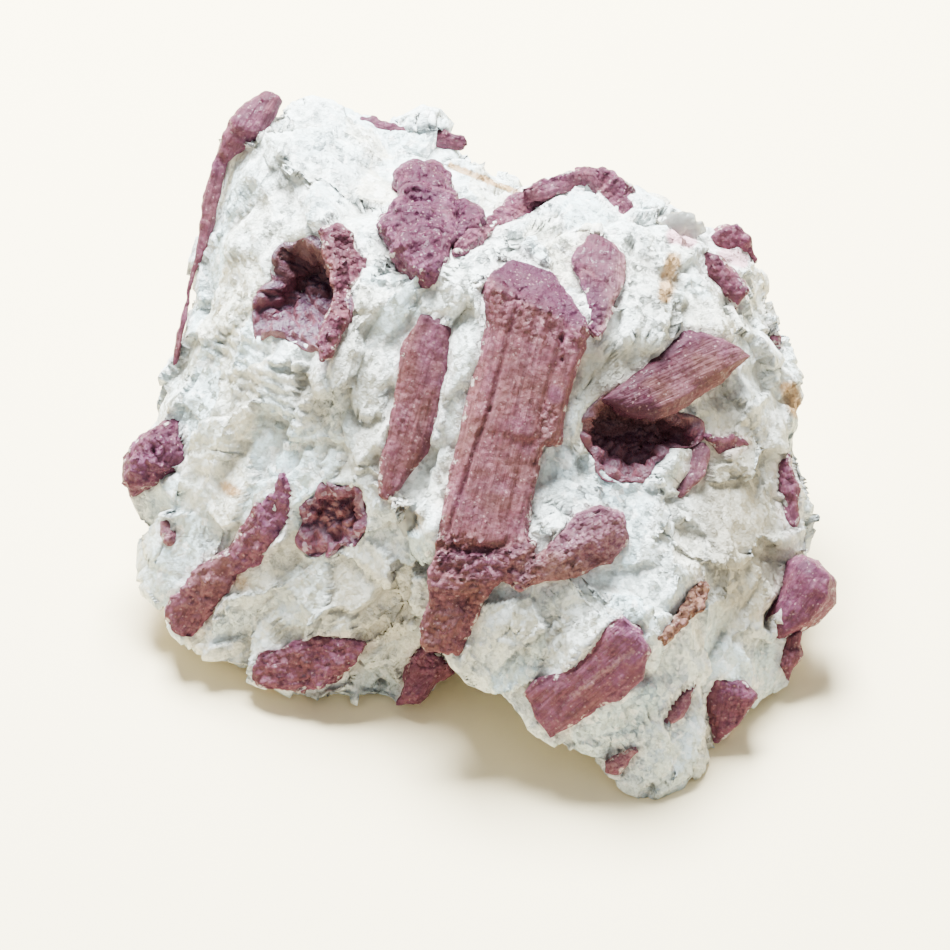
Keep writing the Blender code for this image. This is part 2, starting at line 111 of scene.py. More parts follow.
FRONT = [
    (-21, 32, 0.5), (-30, 20, -1), (-15, 27, 3), (-17.4, 20.4, 7.5), (-19.4, 10.4, 8.5), (-16.4, -1, 9.5),
    (-9.6, 20, 10), (-1.4, 22, 10.5), (-9, -8.5, 10), (-18.4, -18.4, 5.5), (-28.4, -14, 3),
    (-34.4, -7, -0.5), (-31, 6, 1), (-36, -18, -1.2), (-22, -27, 2.6), (-8, -26.4, 2), (-5.5, -19, 8.5),
    (-5, -11, 14), (0.5, 18, 12), (14.4, 16.4, 11), (8, -12, 16), (-1, -21.5, 14.5), (16, 24, 7),
    (23.4, 15, 9), (33.8, 13.6, -1), (32.4, 20, -3.5), (26.8, 1.6, 7), (12, -3, 12.5), (21.5, -5.6, 11.5),
    (12.6, -14, 15.5), (25.5, -15.1, 14.5), (17, -24, 17), (13, -33, 15), (31.4, -14, 8), (36.4, -20, 3),
    (28, -29.6, 9.8), (33, -4.6, 3.6), (37.8, 0.6, -1.6), (6, -27, 15), (2, 28, 3), (-9, 31, -2.5),
    (20, 27.4, 3), (9.6, 29, 2), (23.4, -22, 15.4),
]
BACK = [
    (-30, 27, -20), (-13, 33, -24), (8, 31, -20), (27, 20, -22), (37, 8, -17), (-37, 8, -18),
    (-24, 12, -29), (-2, 17, -34), (20, 10, -31), (34, -6, -20), (-37, -8, -18), (-21, 38, -16),
    (-3, 36, -17), (17, 31, -14), (31, 23, -16), (-8, 26, -29), (12, 22, -31), (-33, 18, -26), (30, 9, -26),
    (-15, 6, -37), (7, 7, -33),
]
UNDERCUT = [(-2.6, -22.6, -2), (3, -24.4, -3), (9.6, -28.6, -2.6)]
# And a little under the table, which cuts the stone off flat
BASE = [
    (-28, -3, -33), (-8, 1, -37), (14, -3, -33), (27, -11, -25), (32, -25, -11), (26, -39, 3),
    (20, -41.6, 6.4), (13, -32, -4), (1, -23, -13), (-10, -31, -5), (-22, -29, -7), (-33, -17, -19),
]


def leaning(points_mm):
    """Turns (right, up, out) of the leaning frame, in millimetres, into metres of the specimen."""
    points = np.asarray(points_mm, float)
    right, up, out = points[..., 0], points[..., 1], points[..., 2]
    x = right - CENTRE_MM[0]
    y = up * np.sin(LEAN) - out * np.cos(LEAN) - CENTRE_MM[1]
    z = up * np.cos(LEAN) + out * np.sin(LEAN) + FLOOR_MM
    return np.stack([x, y, z], axis=-1) * MM


def unit(vectors):
    """Vectors divided by their lengths."""
    return vectors / np.maximum(np.linalg.norm(vectors, axis=-1, keepdims=True), 1e-9)


def ease(values, low, high):
    """0 below low, 1 above high, and 3t^2 - 2t^3 between them; high may be the smaller."""
    share = np.clip((values - low) / (high - low), 0, 1)
    return share * share * (3 - 2 * share)


def hashed(cells, seed):
    """Three numbers from 0 to 1 for each cell of a lattice, the same each time."""
    turned = cells @ np.array([127.1, 311.7, 74.7]) + seed * 17.3
    waves = turned[..., None] * np.array([1.0, 1.31, 1.73])
    return np.modf(np.abs(np.sin(waves)) * 43758.5453)[0]


def noise(points, size, seed):
    """Smooth noise, about -1 to 1: slopes at the corners of a lattice, blended by 6t^5 - 15t^4 + 10t^3."""
    places = points / size
    cells = np.floor(places)
    local = places - cells
    blend = local**3 * (local * (local * 6 - 15) + 10)
    total = np.zeros(len(points))
    for corner in np.ndindex(2, 2, 2):
        corner = np.array(corner)
        slopes = hashed(cells + corner, seed) * 2 - 1
        weight = np.prod(np.where(corner, blend, 1 - blend), axis=1)
        total += weight * ((local - corner) * slopes).sum(axis=1)
    return total * 1.6


def fractal(points, size, seed, octaves=3):
    """Noise on noise: each octave is half the size of the one before, and half as strong."""
    return sum(0.5**octave * noise(points, size / 2**octave, seed + octave) for octave in range(octaves))


def swirl(points, size, seed):
    """A smooth vector at each point: three noises side by side."""
    return np.stack([noise(points, size, seed + turn) for turn in (0, 11, 23)], axis=1)


def nearest(points, size, seed):
    """The nearest of one middle in each lattice cell: the way from it, its distance and its cell."""
    cells = np.floor(points / size)
    least = np.full(len(points), np.inf)
    away, own = np.zeros_like(points), np.zeros_like(points)
    for offset in np.ndindex(3, 3, 3):
        cell = cells + np.array(offset) - 1
        gap = points - (cell + hashed(cell, seed)) * size
        distance = (gap**2).sum(axis=1)
        closer = distance < least
        least = np.where(closer, distance, least)
        away[closer], own[closer] = gap[closer], cell[closer]
    return away, np.sqrt(least), own


def blocks(points, size, seed, step=BLOCK_STEP_MM, tilt=BLOCK_TILT):
    """Height of cleaved blocks: the nearest middle sets a level and a slope."""
    away, _, cell = nearest(points, size, seed)
    level = hashed(cell, seed + 5) - 0.5
    return level[:, 0] * step + tilt * (away * level).sum(axis=1)


def domes(points, size, seed):
    """Rounded grains: about 0.6 at the nearest middle, less as the square of the distance from it."""
    return 0.6 - 1.6 * (nearest(points, size, seed)[1] / size) ** 2


def strips(points, rows, near, far):
    """For each row, an amount along a line on the face, seen square on, and none away from it.

    A row is the (right, up) of both ends, a half width and the amount. near and far are the shares of
    the half width where the amount starts to fade and where it is gone."""
    for *line, width, amount in rows:
        start = np.array(line[:2], float)
        along = line[2:] - start
        away = points[:, :2] - start
        share = np.clip(away @ along / max(along @ along, 1e-9), 0, 1)
        distance = np.linalg.norm(away - share[:, None] * along, axis=1)
        yield amount * ease(distance / width, far, near)


def corner_faces(corners):
    """The triangles between the corners: the hull of their directions from the inner centre."""
    shell = bmesh.new()
    for corner in corners:
        shell.verts.new(Vector(corner).normalized())
    shell.verts.index_update()
    hull = bmesh.ops.convex_hull(shell, input=shell.verts)
    faces = [item for item in hull["geom"] if isinstance(item, bmesh.types.BMFace)]
    triangles = np.array([[vert.index for vert in face.verts] for face in faces])
    shell.free()
    return triangles


def flat_reach(directions):
    """How far each direction goes before it meets the flat faces between the corners."""
    rays = np.ascontiguousarray(directions.T)
    reach = np.zeros(len(directions))
    for triangle in FACES:
        first, second, third = np.linalg.inv(CORNERS[triangle]).T @ rays
        meets = np.minimum(np.minimum(first, second), third) > -1e-7
        reach[meets] = 1 / (first + second + third)[meets]
    return reach


def stone_reach(directions):
    """Reach of the stone in millimetres: flat faces with softened edges, and cleaved blocks on them."""
    reach = CORE * flat_reach(directions)
    for axis in np.eye(3):
        for side in (-SPREAD, SPREAD):
            reach += (1 - CORE) / 6 * flat_reach(unit(directions + side * axis))
    reach += blocks(directions * reach[:, None], BLOCK_MM, seed=3)
    drop = directions @ DOWN
    return np.minimum(reach, FLOOR_MM / np.maximum(drop, LEAST_DROP))


def surface_out(places, facing=1):
    """How far out the stone's face stands at each (right, up): the first step inside it along a line."""
    outs = facing * np.arange(NEAREST_MM, FARTHEST_MM, -SEARCH_MM)
    lines = np.empty((len(places), len(outs), 3))
    lines[..., :2] = np.asarray(places, float)[:, None, :]
    lines[..., 2] = outs
    lengths = np.linalg.norm(lines, axis=2)
    reach = stone_reach((lines / lengths[..., None]).reshape(-1, 3)).reshape(lengths.shape)
    return outs[(reach > lengths).argmax(axis=1)]


CORNERS = np.array(OUTLINE + FRONT + UNDERCUT + BACK + BASE)
FACES = corner_faces(CORNERS)


def normals(points, triangles):
    """Outward direction at each point: the sum of its triangles' areas as vectors, one unit long."""
    first, second, third = (points[triangles[:, side]] for side in range(3))
    areas = np.cross(second - first, third - first)
    at = triangles.ravel()
    sums = [np.bincount(at, np.repeat(areas[:, axis], 3), len(points)) for axis in range(3)]
    return unit(np.stack(sums, axis=1))


def outwards(points, triangles):
    """The triangles, turned if the volume they hold, the sum of a . (b x c), comes out negative."""
    first, second, third = (points[triangles[:, side]] for side in range(3))
    volume = (first * np.cross(second, third)).sum()
    return triangles if volume > 0 else triangles[:, ::-1]


def rings(rows, columns):
    """Triangles of rows of points round an axis, with point 0 and the last point closing the ends."""
    row, column = np.meshgrid(np.arange(rows - 1), np.arange(columns), indexing="ij")
    here = 1 + row * columns + column
    beside = 1 + row * columns + (column + 1) % columns
    sides = np.stack([here, beside, beside + columns, here, beside + columns, here + columns], axis=-1)
    column = np.arange(columns)
    after = (column + 1) % columns
    last = 1 + rows * columns
    start = np.stack([np.zeros_like(column), 1 + after, 1 + column], axis=1)
    base = last - columns
    end = np.stack([np.full_like(column, last), base + column, base + after], axis=1)
    return np.concatenate([sides.reshape(-1, 3), start, end])


def lattice(cuts):
    """The corner triangles cut finely: shares (i, j, n - i - j) / n of three corners, welded by place."""
    i, j = np.indices((cuts + 1, cuts + 1))
    kept = i + j <= cuts
    number = np.full(i.shape, -1)
    number[kept] = np.arange(kept.sum())
    shares = np.stack([i, j, cuts - i - j], axis=-1)[kept] / cuts
    low, high = i + j < cuts, i + j < cuts - 1
    up = [number[i[low] + a, j[low] + b] for a, b in ((0, 0), (1, 0), (0, 1))]
    down = [number[i[high] + a, j[high] + b] for a, b in ((1, 0), (1, 1), (0, 1))]
    small = np.concatenate([np.stack(up, axis=1), np.stack(down, axis=1)])
    points = (shares @ CORNERS[FACES]).reshape(-1, 3)
    triangles = (small + np.arange(len(FACES))[:, None, None] * len(shares)).reshape(-1, 3)
    _, first, weld = np.unique(np.round(points, 4), axis=0, return_index=True, return_inverse=True)
    points = points[first]
    return points, outwards(points, weld.ravel()[triangles])


def piece(name, points, triangles, material, node, marks):
    """A smooth mesh of points in the leaning frame, in place of a node; marks are values at its points."""
    mesh = bpy.data.meshes.new(name)
    mesh.vertices.add(len(points))
    mesh.vertices.foreach_set("co", leaning(points).astype(np.float32).ravel())
    mesh.loops.add(triangles.size)
    mesh.loops.foreach_set("vertex_index", triangles.astype(np.int32).ravel())
    mesh.polygons.add(len(triangles))
    mesh.polygons.foreach_set("loop_start", np.arange(0, triangles.size, 3, dtype=np.int32))
    mesh.update(calc_edges=True)
    for mark, values in marks.items():
        kind, field = ("FLOAT_VECTOR", "vector") if values.ndim == 2 else ("FLOAT", "value")
        layer = mesh.attributes.new(mark, kind, "POINT")
        layer.data.foreach_set(field, values.astype(np.float32).ravel())
    mesh.shade_smooth()
    mesh.materials.append(material)
    thing = bpy.data.objects.new(name, mesh)
    bpy.context.scene.collection.objects.link(thing)
    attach(thing, "root")
    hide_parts(node)


# Sections of crystals with an outline: across and outward, from -1 to 1, in order round the crystal
SECTIONS = {
    "prism": [(1, 0), (0.7, 0.84), (0.05, 1), (-0.62, 0.9), (-1, 0), (-0.7, -1), (0.7, -1)],
    "round": [(1, 0), (0.86, 0.5), (0.5, 0.88), (0, 1), (-0.5, 0.9), (-0.85, 0.54), (-1, 0), (-0.7, -0.8),
        (0, -1), (0.7, -0.8)],
    "grooved": [(1, 0), (0.8, 0.66), (0.6, 0.92), (-0.2, 1), (-0.45, 0.93), (-0.53, 0.68), (-0.62, 0.86),
        (-0.88, 0.82), (-1, 0.2), (-0.8, -1), (0.8, -1)],
}


class Lump:
    """A crystal or part of one: a body along an axis, many-sided across, with rounded or flat ends.

    start and end are (right, up) of its tips on the face, width its half widths there, rise how far its
    face stands proud of the stone and deep its depth as a share of its width. outline is the (right,
    up) of points round it, seen square on, and form then names its section. Without an outline, square
    is how flat its ends are (2 is an egg, 10 a cut prism) and sides how many faces it has round. out
    gives the depths of its face at both tips where the stone's own can't be used, and facing -1 puts
    it on the back. slant cuts a tip off: a point and the direction away from what stays.
    """

    def __init__(self, start, end, width, rise, deep=0.8, square=BLUNT, sides=6, out=None, facing=1,
                 slant=None, form="prism", outline=None):
        self.start, self.end, self.width = start, end, width
        self.rise, self.deep, self.square, self.sides = rise, deep, square, sides
        self.out, self.facing = out, facing
        self.slant = slant and (np.array(slant[0]), unit(np.array(slant[1])))
        self.form, self.outline = form, outline

    def take_place(self):
        """Finds its middle and directions from its tips, and its half widths along its axis.

        Without an outline its sides run straight from one width to the other. With one, its widest
        level is at the stone's face, or at its axis if it stands free, and its sides are where lines
        across it meet the outline."""
        breadth = np.mean(self.width) * self.deep
        free = self.outline is None or self.rise < FREE_MM
        self.top = breadth if free else self.rise
        self.under = breadth if free else breadth * 1.4
        tips = []
        for place, out, width in zip((self.start, self.end), self.out, self.width):
            drop = width * self.deep if free else self.rise
            tips.append(np.array([*place, out + self.facing * (self.rise - drop)]))
        self.middle = (tips[0] + tips[1]) / 2
        self.half = np.linalg.norm(tips[1] - tips[0]) / 2
        self.along = unit(tips[1] - tips[0])
        self.across = unit(np.cross(self.along, OUT * self.facing))
        self.outward = np.cross(self.across, self.along)
        if self.outline is None:
            self.stations = np.array([-self.half, self.half])
            self.left, self.right = -np.array(self.width), np.array(self.width)
            return
        flat = self.along[:2]
        away = np.array(self.outline) - self.middle[:2]
        along, across = away @ flat / (flat @ flat), away @ self.across[:2]
        centre = (along.min() + along.max()) / 2
        self.middle = self.middle + centre * self.along
        along -= centre
        self.half = along.max()
        self.stations = np.linspace(-self.half, self.half, STATIONS) * 0.999
        run = np.roll(along, -1) - along
        share = (self.stations[:, None] - along) / np.where(run == 0, 1e-9, run)
        meets = across + share * (np.roll(across, -1) - across)
        crossed = (share >= 0) & (share <= 1)
        self.left = np.where(crossed, meets, np.inf).min(axis=1)
        self.right = np.where(crossed, meets, -np.inf).max(axis=1)

    def local(self, points):
        """Where points are beside its middle: across, outward and along, in millimetres."""
        return (points - self.middle) @ np.stack([self.across, self.outward, self.along], axis=1)

    def sides_at(self, along):
        """The middle and the half of its width at places along its axis."""
        left = np.interp(along, self.stations, self.left)
        right = np.interp(along, self.stations, self.right)
        return (left + right) / 2, (right - left) / 2

    def section(self, columns):
        """Its outline across: corners joined by straight lines, at even steps, with soft edges."""
        turn = 2 * np.pi * np.arange(self.sides) / self.sides
        corners = SECTIONS[self.form] if self.outline else np.stack([np.cos(turn), -np.sin(turn)], axis=1)
        loop = np.concatenate([corners, corners[:1]])
        run = np.concatenate([[0], np.cumsum(np.linalg.norm(np.diff(loop, axis=0), axis=1))])
        at = np.linspace(0, run[-1], columns, endpoint=False)
        ring = np.stack([np.interp(at, run, loop[:, 0]), np.interp(at, run, loop[:, 1])])
        for _ in range(2):
            ring = (np.roll(ring, 1, axis=1) + ring + np.roll(ring, -1, axis=1)) / 3
        return ring

    def surface(self, spacing):
        """Rings of points from tip to tip. The profile, |height|^n + |ring|^n = 1, is cut evenly."""
        turns = np.linspace(0, np.pi, 4001)
        height = -np.sign(np.cos(turns)) * np.abs(np.cos(turns)) ** (2 / self.square)
        ring = np.sin(turns) ** (2 / self.square)
        widest = (self.right - self.left).max() / 2
        run = np.hypot(np.diff(height) * self.half, np.diff(ring) * widest)
        length = np.concatenate([[0], np.cumsum(run)])
        rows = int(length[-1] / spacing)
        columns = int((4 * widest + 2 * self.top + 2 * self.under) * 0.9 / spacing)
        at = np.interp(np.linspace(0, length[-1], rows + 2), length, turns)
        height, ring = (np.interp(at, turns, profile)[:, None] for profile in (height, ring))
        centre, half = self.sides_at(height * self.half)
        x, y = self.section(columns)
        level = np.where(y > 0, self.top, self.under) * y * (half / widest) ** 0.6
        spots = [centre + half * ring * x, ring * level, height * self.half + 0 * x]
        local = np.stack(np.broadcast_arrays(*spots), axis=-1)
        local = np.concatenate([local[0, :1], local[1:-1].reshape(-1, 3), local[-1, :1]])
        points = self.middle + local @ np.stack([self.across, self.outward, self.along])
        if self.slant:
            point, away = self.slant
            points -= away * np.maximum((points - point) @ away, 0)[:, None]
        return points, outwards(points, rings(rows, columns))

    def clear(self, points, wander):
        """Moves the stone's points below its face wherever that stands above the stone, and says how
        near they are to it: 1 at its edge, 0 a little way off. wander bends its edge."""
        across, outward, along = self.local(points + wander).T
        centre, half = self.sides_at(along)
        beside, along = np.abs(across - centre), np.abs(along)
        top = self.top * (1 - np.clip(beside / half, 0, 1) ** 3) * np.clip(2 * half, 0, 1)
        if self.slant:
            point, away = self.slant
            top = np.minimum(top, outward - (points - point) @ away / (self.outward @ away))
        edge = np.minimum(half - beside, self.half - along)
        if self.outline is None:
            top = np.minimum(top, self.top * (1 - np.clip(along / self.half, 0, 1) ** self.square))
            inside = ease(top - self.top + self.rise, -0.1, 0.5)
        else:
            inside = ease(edge, 0.0, 0.45)
        close = np.abs(outward) < CLOSE_MM
        inside = inside * close * (self.half > along)
        points -= self.outward * (np.maximum(outward - top + GAP_MM, 0) * inside)[:, None]
        return close * ease(edge, -1.6, 0.2)


def settle(lumps):
    """Lays each crystal's axis on the stone: the depths of its tips come from a straight line."""
    shares = np.linspace(0.1, 0.9, 5)
    for facing in (1, -1):
        group = [lump for lump in lumps if lump.out is None and lump.facing == facing]
        places = [np.outer(1 - shares, lump.start) + np.outer(shares, lump.end) for lump in group]
        levels = surface_out(np.concatenate(places), facing).reshape(len(group), -1) * facing
        for lump, level in zip(group, levels):
            slope, base = np.polyfit(shares, level, 1)
            lift = (level - base - slope * shares).max() * BRIDGE
            lump.out = facing * (base + lift), facing * (base + slope + lift)
    for lump in lumps:
        lump.take_place()


class Hollow:
    """A hollow lined with small crystals.

    middle is (right, up) of its mouth, depth how deep it goes, seed the number that its crystals come
    from and outline the (right, up) of points round it, seen square on. brown is how brown its upper
    wall is, frost how pale its rim and gloom how much painted shade lies over all of it.
    """

    def __init__(self, middle, depth, seed, brown=0.9, frost=1.0, gloom=0.0, outline=()):
        self.mouth, self.depth, self.seed = np.array(middle), depth, seed
        self.brown, self.frost, self.gloom, self.outline = brown, frost, gloom, np.array(outline)

    def take_place(self):
        """Fits a curved sheet, 1, a, b, aa, ab, bb, to the stone's face round the mouth."""
        probes = self.mouth + STEP_MM * np.array([(1, 0), (-1, 0), (0, 1), (0, -1), (0, 0)])
        east, west, north, south, here = surface_out(probes)
        slopes = (west - east) / (2 * STEP_MM), (south - north) / (2 * STEP_MM)
        self.outward = unit(np.array([*slopes, 1.0]))
        self.across = unit(np.cross(self.outward, (0.0, -1.0, 0.0)))
        self.upward = np.cross(self.outward, self.across)
        self.middle = np.array([*self.mouth, here])
        shares = (0.4, 0.8, 1.1)
        around = np.concatenate([self.mouth + (self.outline - self.mouth) * share for share in shares])
        a, b, height = self.local(np.concatenate([around, surface_out(around)[:, None]], axis=1))
        self.sheet = np.linalg.lstsq(self.terms(a, b), height, rcond=None)[0]
        a, b = (side[-len(self.outline):] / shares[-1] for side in (a, b))
        order = np.argsort(np.arctan2(b, a))
        self.angles, self.radii = np.arctan2(b, a)[order], np.hypot(a, b)[order]

    def terms(self, a, b):
        """The terms of the curved sheet."""
        return np.stack([np.ones_like(a), a, b, a * a, a * b, b * b], axis=-1)

    def local(self, points):
        """Where points are from its mouth: across, upward and outward, in millimetres."""
        away = points - self.middle
        return away @ self.across, away @ self.upward, away @ self.outward

    def radius(self, angle):
        """Distance from the middle to the outline in a direction."""
        return np.interp(angle, self.angles, self.radii, period=2 * np.pi)

    def share(self, a, b):
        """How far places lie from the middle, as a share of the way to the outline."""
        return np.hypot(a, b) / self.radius(np.arctan2(b, a))

    def floor(self, a, b, deeper=0.0):
        """Its wall: the sheet, less its depth from the outline inwards, more gently on its lower side."""
        share = self.share(a, b)
        steep = ease(b / self.radii.mean(), -0.9, 0.4)
        sunk = ease(share, 1.02, 0.3 + 0.35 * steep) * (0.35 + 0.65 * steep)
        return self.terms(a, b) @ self.sheet - self.depth * sunk - deeper * ease(share, 1.02, 0.9)

    def sink(self, points):
        """Moves the stone's points down into the hollow."""
        a, b, height = self.local(points)
        near = ease(self.share(a, b), 1.25, 1.0) * (np.abs(height) < self.depth + 6)
        points += self.outward * ((self.floor(a, b, deeper=SUNK_MM) - height) * near)[:, None]

    def lining(self, size):
        """A bowl of small crystals: rings out from the middle of its floor, and back under them."""
        wide = self.radii.mean()
        rows, columns = int(1.7 * wide / size), int(2 * np.pi * wide / size)
        share = np.linspace(0, 1.06, rows + 1)[1:, None]
        angle = np.linspace(-np.pi, np.pi, columns, endpoint=False)[None]
        stretch = share * (self.radius(angle) + 0.5 * ease(share, 0.6, 1.0) * np.sin(7 * angle + self.seed))
        a, b = np.cos(angle) * stretch, np.sin(angle) * stretch
        spots = self.middle + a[..., None] * self.across + b[..., None] * self.upward
        rim = ease(share, 1.06, 0.98) + 0 * a
        top = self.floor(a, b) - 0.1 * rim
        upper = spots + top[..., None] * self.outward
        lower = spots + (top - LINING_MM - 0.3 * rim)[..., None] * self.outward
        between = [upper.reshape(-1, 3), lower[::-1].reshape(-1, 3)]
        points = np.concatenate([upper[0].mean(axis=0)[None], *between, lower[0].mean(axis=0)[None]])
        triangles = outwards(points, rings(2 * rows, columns))
        shown = np.concatenate([[1.0], rim.ravel(), np.zeros(rim.size + 1)])
        relief = (1.1 * domes(points, 1.7, self.seed) + 0.5 * domes(points, 0.85, self.seed + 1)
                  + 0.4 * noise(points, 2.5, self.seed) + 0.2)
        points = points + normals(points, triangles) * (np.maximum(relief, -0.4) * shown)[:, None]
        a, b, _ = self.local(points)
        # Painted shade: faces that look up get more dim and less frost, and gloom adds dim all over
        lit = ease(normals(points, triangles) @ -DOWN, 0.5, 0.95)
        out = ease(self.share(a, b), 0.3, 0.95)
        return points, triangles, {"rim": out * self.frost * (1 - 0.6 * lit), "dim": lit + self.gloom,
                                   "wall": ease(b / wide, 0.0, 0.6) * self.brown}


def fused(shells, spacing):
    """One closed surface round several shells, rebuilt on a lattice of small cubes."""
    counts = np.cumsum([0] + [len(points) for points, _ in shells])
    mesh = bpy.data.meshes.new("shells")
    points = np.concatenate([points for points, _ in shells])
    triangles = np.concatenate([faces + count for (_, faces), count in zip(shells, counts)])
    mesh.from_pydata(points.tolist(), [], triangles.tolist())
    thing = bpy.data.objects.new("shells", mesh)
    bpy.context.scene.collection.objects.link(thing)
    modifier = thing.modifiers.new("fused", "REMESH")
    modifier.mode = "VOXEL"
    modifier.voxel_size = spacing
    bpy.context.view_layer.update()
    whole = thing.evaluated_get(bpy.context.evaluated_depsgraph_get()).to_mesh()
    whole.calc_loop_triangles()
    points = np.empty(3 * len(whole.vertices), np.float32)
    whole.vertices.foreach_get("co", points)
    triangles = np.empty(3 * len(whole.loop_triangles), np.int32)
    whole.loop_triangles.foreach_get("vertices", triangles)
    bpy.data.objects.remove(thing)
    bpy.data.meshes.remove(mesh)
    return points.reshape(-1, 3).astype(float), triangles.reshape(-1, 3)


def crystal_surface(name, look):
    """A crystal's fine surface: its lumps, joined where there are several, with the relief of its coat.

    The relief is streaks (noise drawn out along the axis) plus grains (domes and blocks) times how rough
    it is, plus dents (noise on noise) and bulges (large domes), less its furrows."""
    everything = {**CRYSTALS, **GRAINS}
    lumps, seed = everything[name], 100 + 7 * list(everything).index(name)
    coat = {**COAT, **COATS.get(name, {})}
    shells = [lump.surface(look.spacing / MM) for lump in lumps]
    points, triangles = fused(shells, look.spacing / MM) if len(lumps) > 1 else shells[0]
    points = points + coat["wander"] * (swirl(points, 2.2, seed) + 0.4 * swirl(points, 0.8, seed))
    facing = normals(points, triangles)
    front = ease(facing[:, 2], -0.2, 0.1)
    places = np.stack([lump.local(points) for lump in lumps])
    sizes = np.array([((lump.right - lump.left).max() / 2, INNER_MM, lump.half) for lump in lumps])
    reach = np.abs(places / sizes[:, None]).max(axis=2)
    closest, each = reach.argmin(axis=0), np.arange(len(points))
    own, tip = places[closest, each], ease(reach[closest, each], 0.85, 1.0)
    skin = np.full(len(points), 1.0 if lumps[0].outline else 0.0)
    for lump, place in zip(lumps, places):
        if lump.outline:
            centre, half = lump.sides_at(place[:, 2])
            skin = np.minimum(skin, ease(half - np.abs(place[:, 0] - centre), SKIN_MM, 0.0))
    streaks = noise(own * (1.0, 1.0, 0.04), 1.0, seed) + 0.6 * noise(own * (1.0, 1.0, 0.05), 0.45, seed + 1)
    grain = (domes(points, 1.5, seed + 2) + 0.6 * domes(points, 0.8, seed + 3)
             + blocks(points, 2.4, seed, step=0.5, tilt=0.6))
    rough = coat["rough"] + sum(strips(points, CRUMBS, 0.7, 1.1)) * front
    relief = coat["streak"] * streaks * (1 - tip) + rough * grain * (0.6 + 0.6 * tip)
    relief += coat["dent"] * fractal(points, 3.5, seed + 4) + coat["bulge"] * domes(points, 3.6, seed + 8)
    shifted = points + 0.5 * coat["wander"] * swirl(points, 3.0, seed + 6)
    relief -= sum(strips(shifted, FURROWS, 0.1, 1.0)) * front
    points = points + facing * relief[:, None]
    clouds = fractal(points, 4.0, seed + 5)
    # Painted shade: the more a face looks up, the more dim it gets
    lit = ease(facing @ -DOWN, 0.72, 0.95)
    marks = {"purple": coat["purple"] + 0.3 * clouds + 0.2 * tip, "pale": coat["pale"] + 0.2 * clouds,
             "skin": skin * coat["skin"], "brown": coat["brown"] - 0.3 * clouds, "sugar": 1.8 * rough,
             "dim": coat["dim"] - 0.1 * clouds + 0.7 * lit}
    for mark, rows in TINTS.items():
        marks[mark] += sum(strips(points, rows, 0.5, 1.2)) * front
    return points, triangles, {"own": own, **{mark: np.clip(marks[mark], 0, 1) for mark in marks}}


def stone_surface(look):
    """The feldspar's surface: the flat faces, waved by noise, with relief, hollows and beds for crystals.

    The relief is noise plus large blocks plus small ones in patches, levelled off by tanh and smoothed
    in places, plus swells and thin layers, less grooves. Last, the table cuts it off flat."""
    flat, triangles = lattice(look.cuts)
    directions = unit(flat)
    points = directions * stone_reach(directions)[:, None]
    points += look.wave / MM * (swirl(points, 6.5, 40) + 0.45 * swirl(points, 2.4, 60))
    facing = normals(points, triangles)
    front = ease(facing[:, 2], -0.25, 0.05)
    lay = points - 0.45 * (points @ CLEAVAGE)[:, None] * CLEAVAGE
    chunks = blocks(lay, look.chunk / MM, 11, step=1.0, tilt=0.9)
    chips = blocks(lay, look.chip / MM, 12, step=0.3, tilt=0.6)
    facet = hashed(nearest(lay, look.chunk / MM, 11)[2], 50)[:, 0]
    patch = 0.4 + 0.6 * ease(noise(points, 9.0, 26), -0.2, 0.25)
    grains = 0.8 * chips + 0.16 * domes(points, 1.3, 31)
    relief = 0.8 * fractal(points, 7.0, 30, 2) + 0.85 * chunks + patch * grains
    relief = MOST_MM * np.tanh(relief / MOST_MM) * (1 - sum(strips(points, SMOOTH, 0.7, 1.2)) * front)
    relief += sum(strips(points, SWELLS, 0.0, 1.0))
    stack = points @ unit(LAYERED) + 0.3 * noise(points, 3.0, 33)
    for *line, period, height in LAYERS:
        there = sum(strips(points, [(*line, height)], 0.75, 1.1)) * front
        relief += there * (stack / period - np.floor(stack / period) - 0.5)
    relief -= sum(strips(points + 0.25 * swirl(points, 2.0, 34), GROOVES, 0.0, 1.0)) * front
    points += facing * relief[:, None]
    for hollow in HOLLOWS.values():
        hollow.sink(points)
    wander = 0.2 * swirl(points, 1.6, 77)
    blush = np.zeros(len(points))
    for name, lumps in CRYSTALS.items():
        if name != "crest_prism":
            for lump in lumps:
                blush = np.maximum(blush, lump.clear(points, wander))
    for lumps in GRAINS.values():
        lumps[0].clear(points, wander)
    points += DOWN * np.minimum(FLOOR_MM - points @ DOWN, 0)[:, None]
    # The crevice and hollow marks say how far points lie below their surroundings, for painted shade in the
    # colour; the cool and beige stains hold painted light and shade
    marks = {"blush": blush, "facet": facet, "patch": patch,
             "crevice_shade": crevices(points, triangles, 6, 0.45), "hollow": crevices(points, triangles, 40, 1.3)}
    for mark, rows in STAINS.items():
        marks[mark] = np.max([*strips(points, rows, 0.3, 1.3)], axis=0) * front
    return points, triangles, marks


def crevices(points, triangles, rounds, full):
    """How far each point lies below the mean of the places around it: 0 level, 1 at a full depth."""
    at, beside = triangles.ravel(), np.roll(triangles, 1, axis=1).ravel()
    count = np.bincount(at, minlength=len(points)) + np.bincount(beside, minlength=len(points))
    mean = points
    for _ in range(rounds):
        sums = [np.bincount(at, mean[beside, axis], len(points))
                + np.bincount(beside, mean[at, axis], len(points)) for axis in range(3)]
        mean = np.stack(sums, axis=1) / count[:, None]
    below = ((mean - points) * normals(points, triangles)).sum(axis=1)
    return ease(below, 0.05, full)


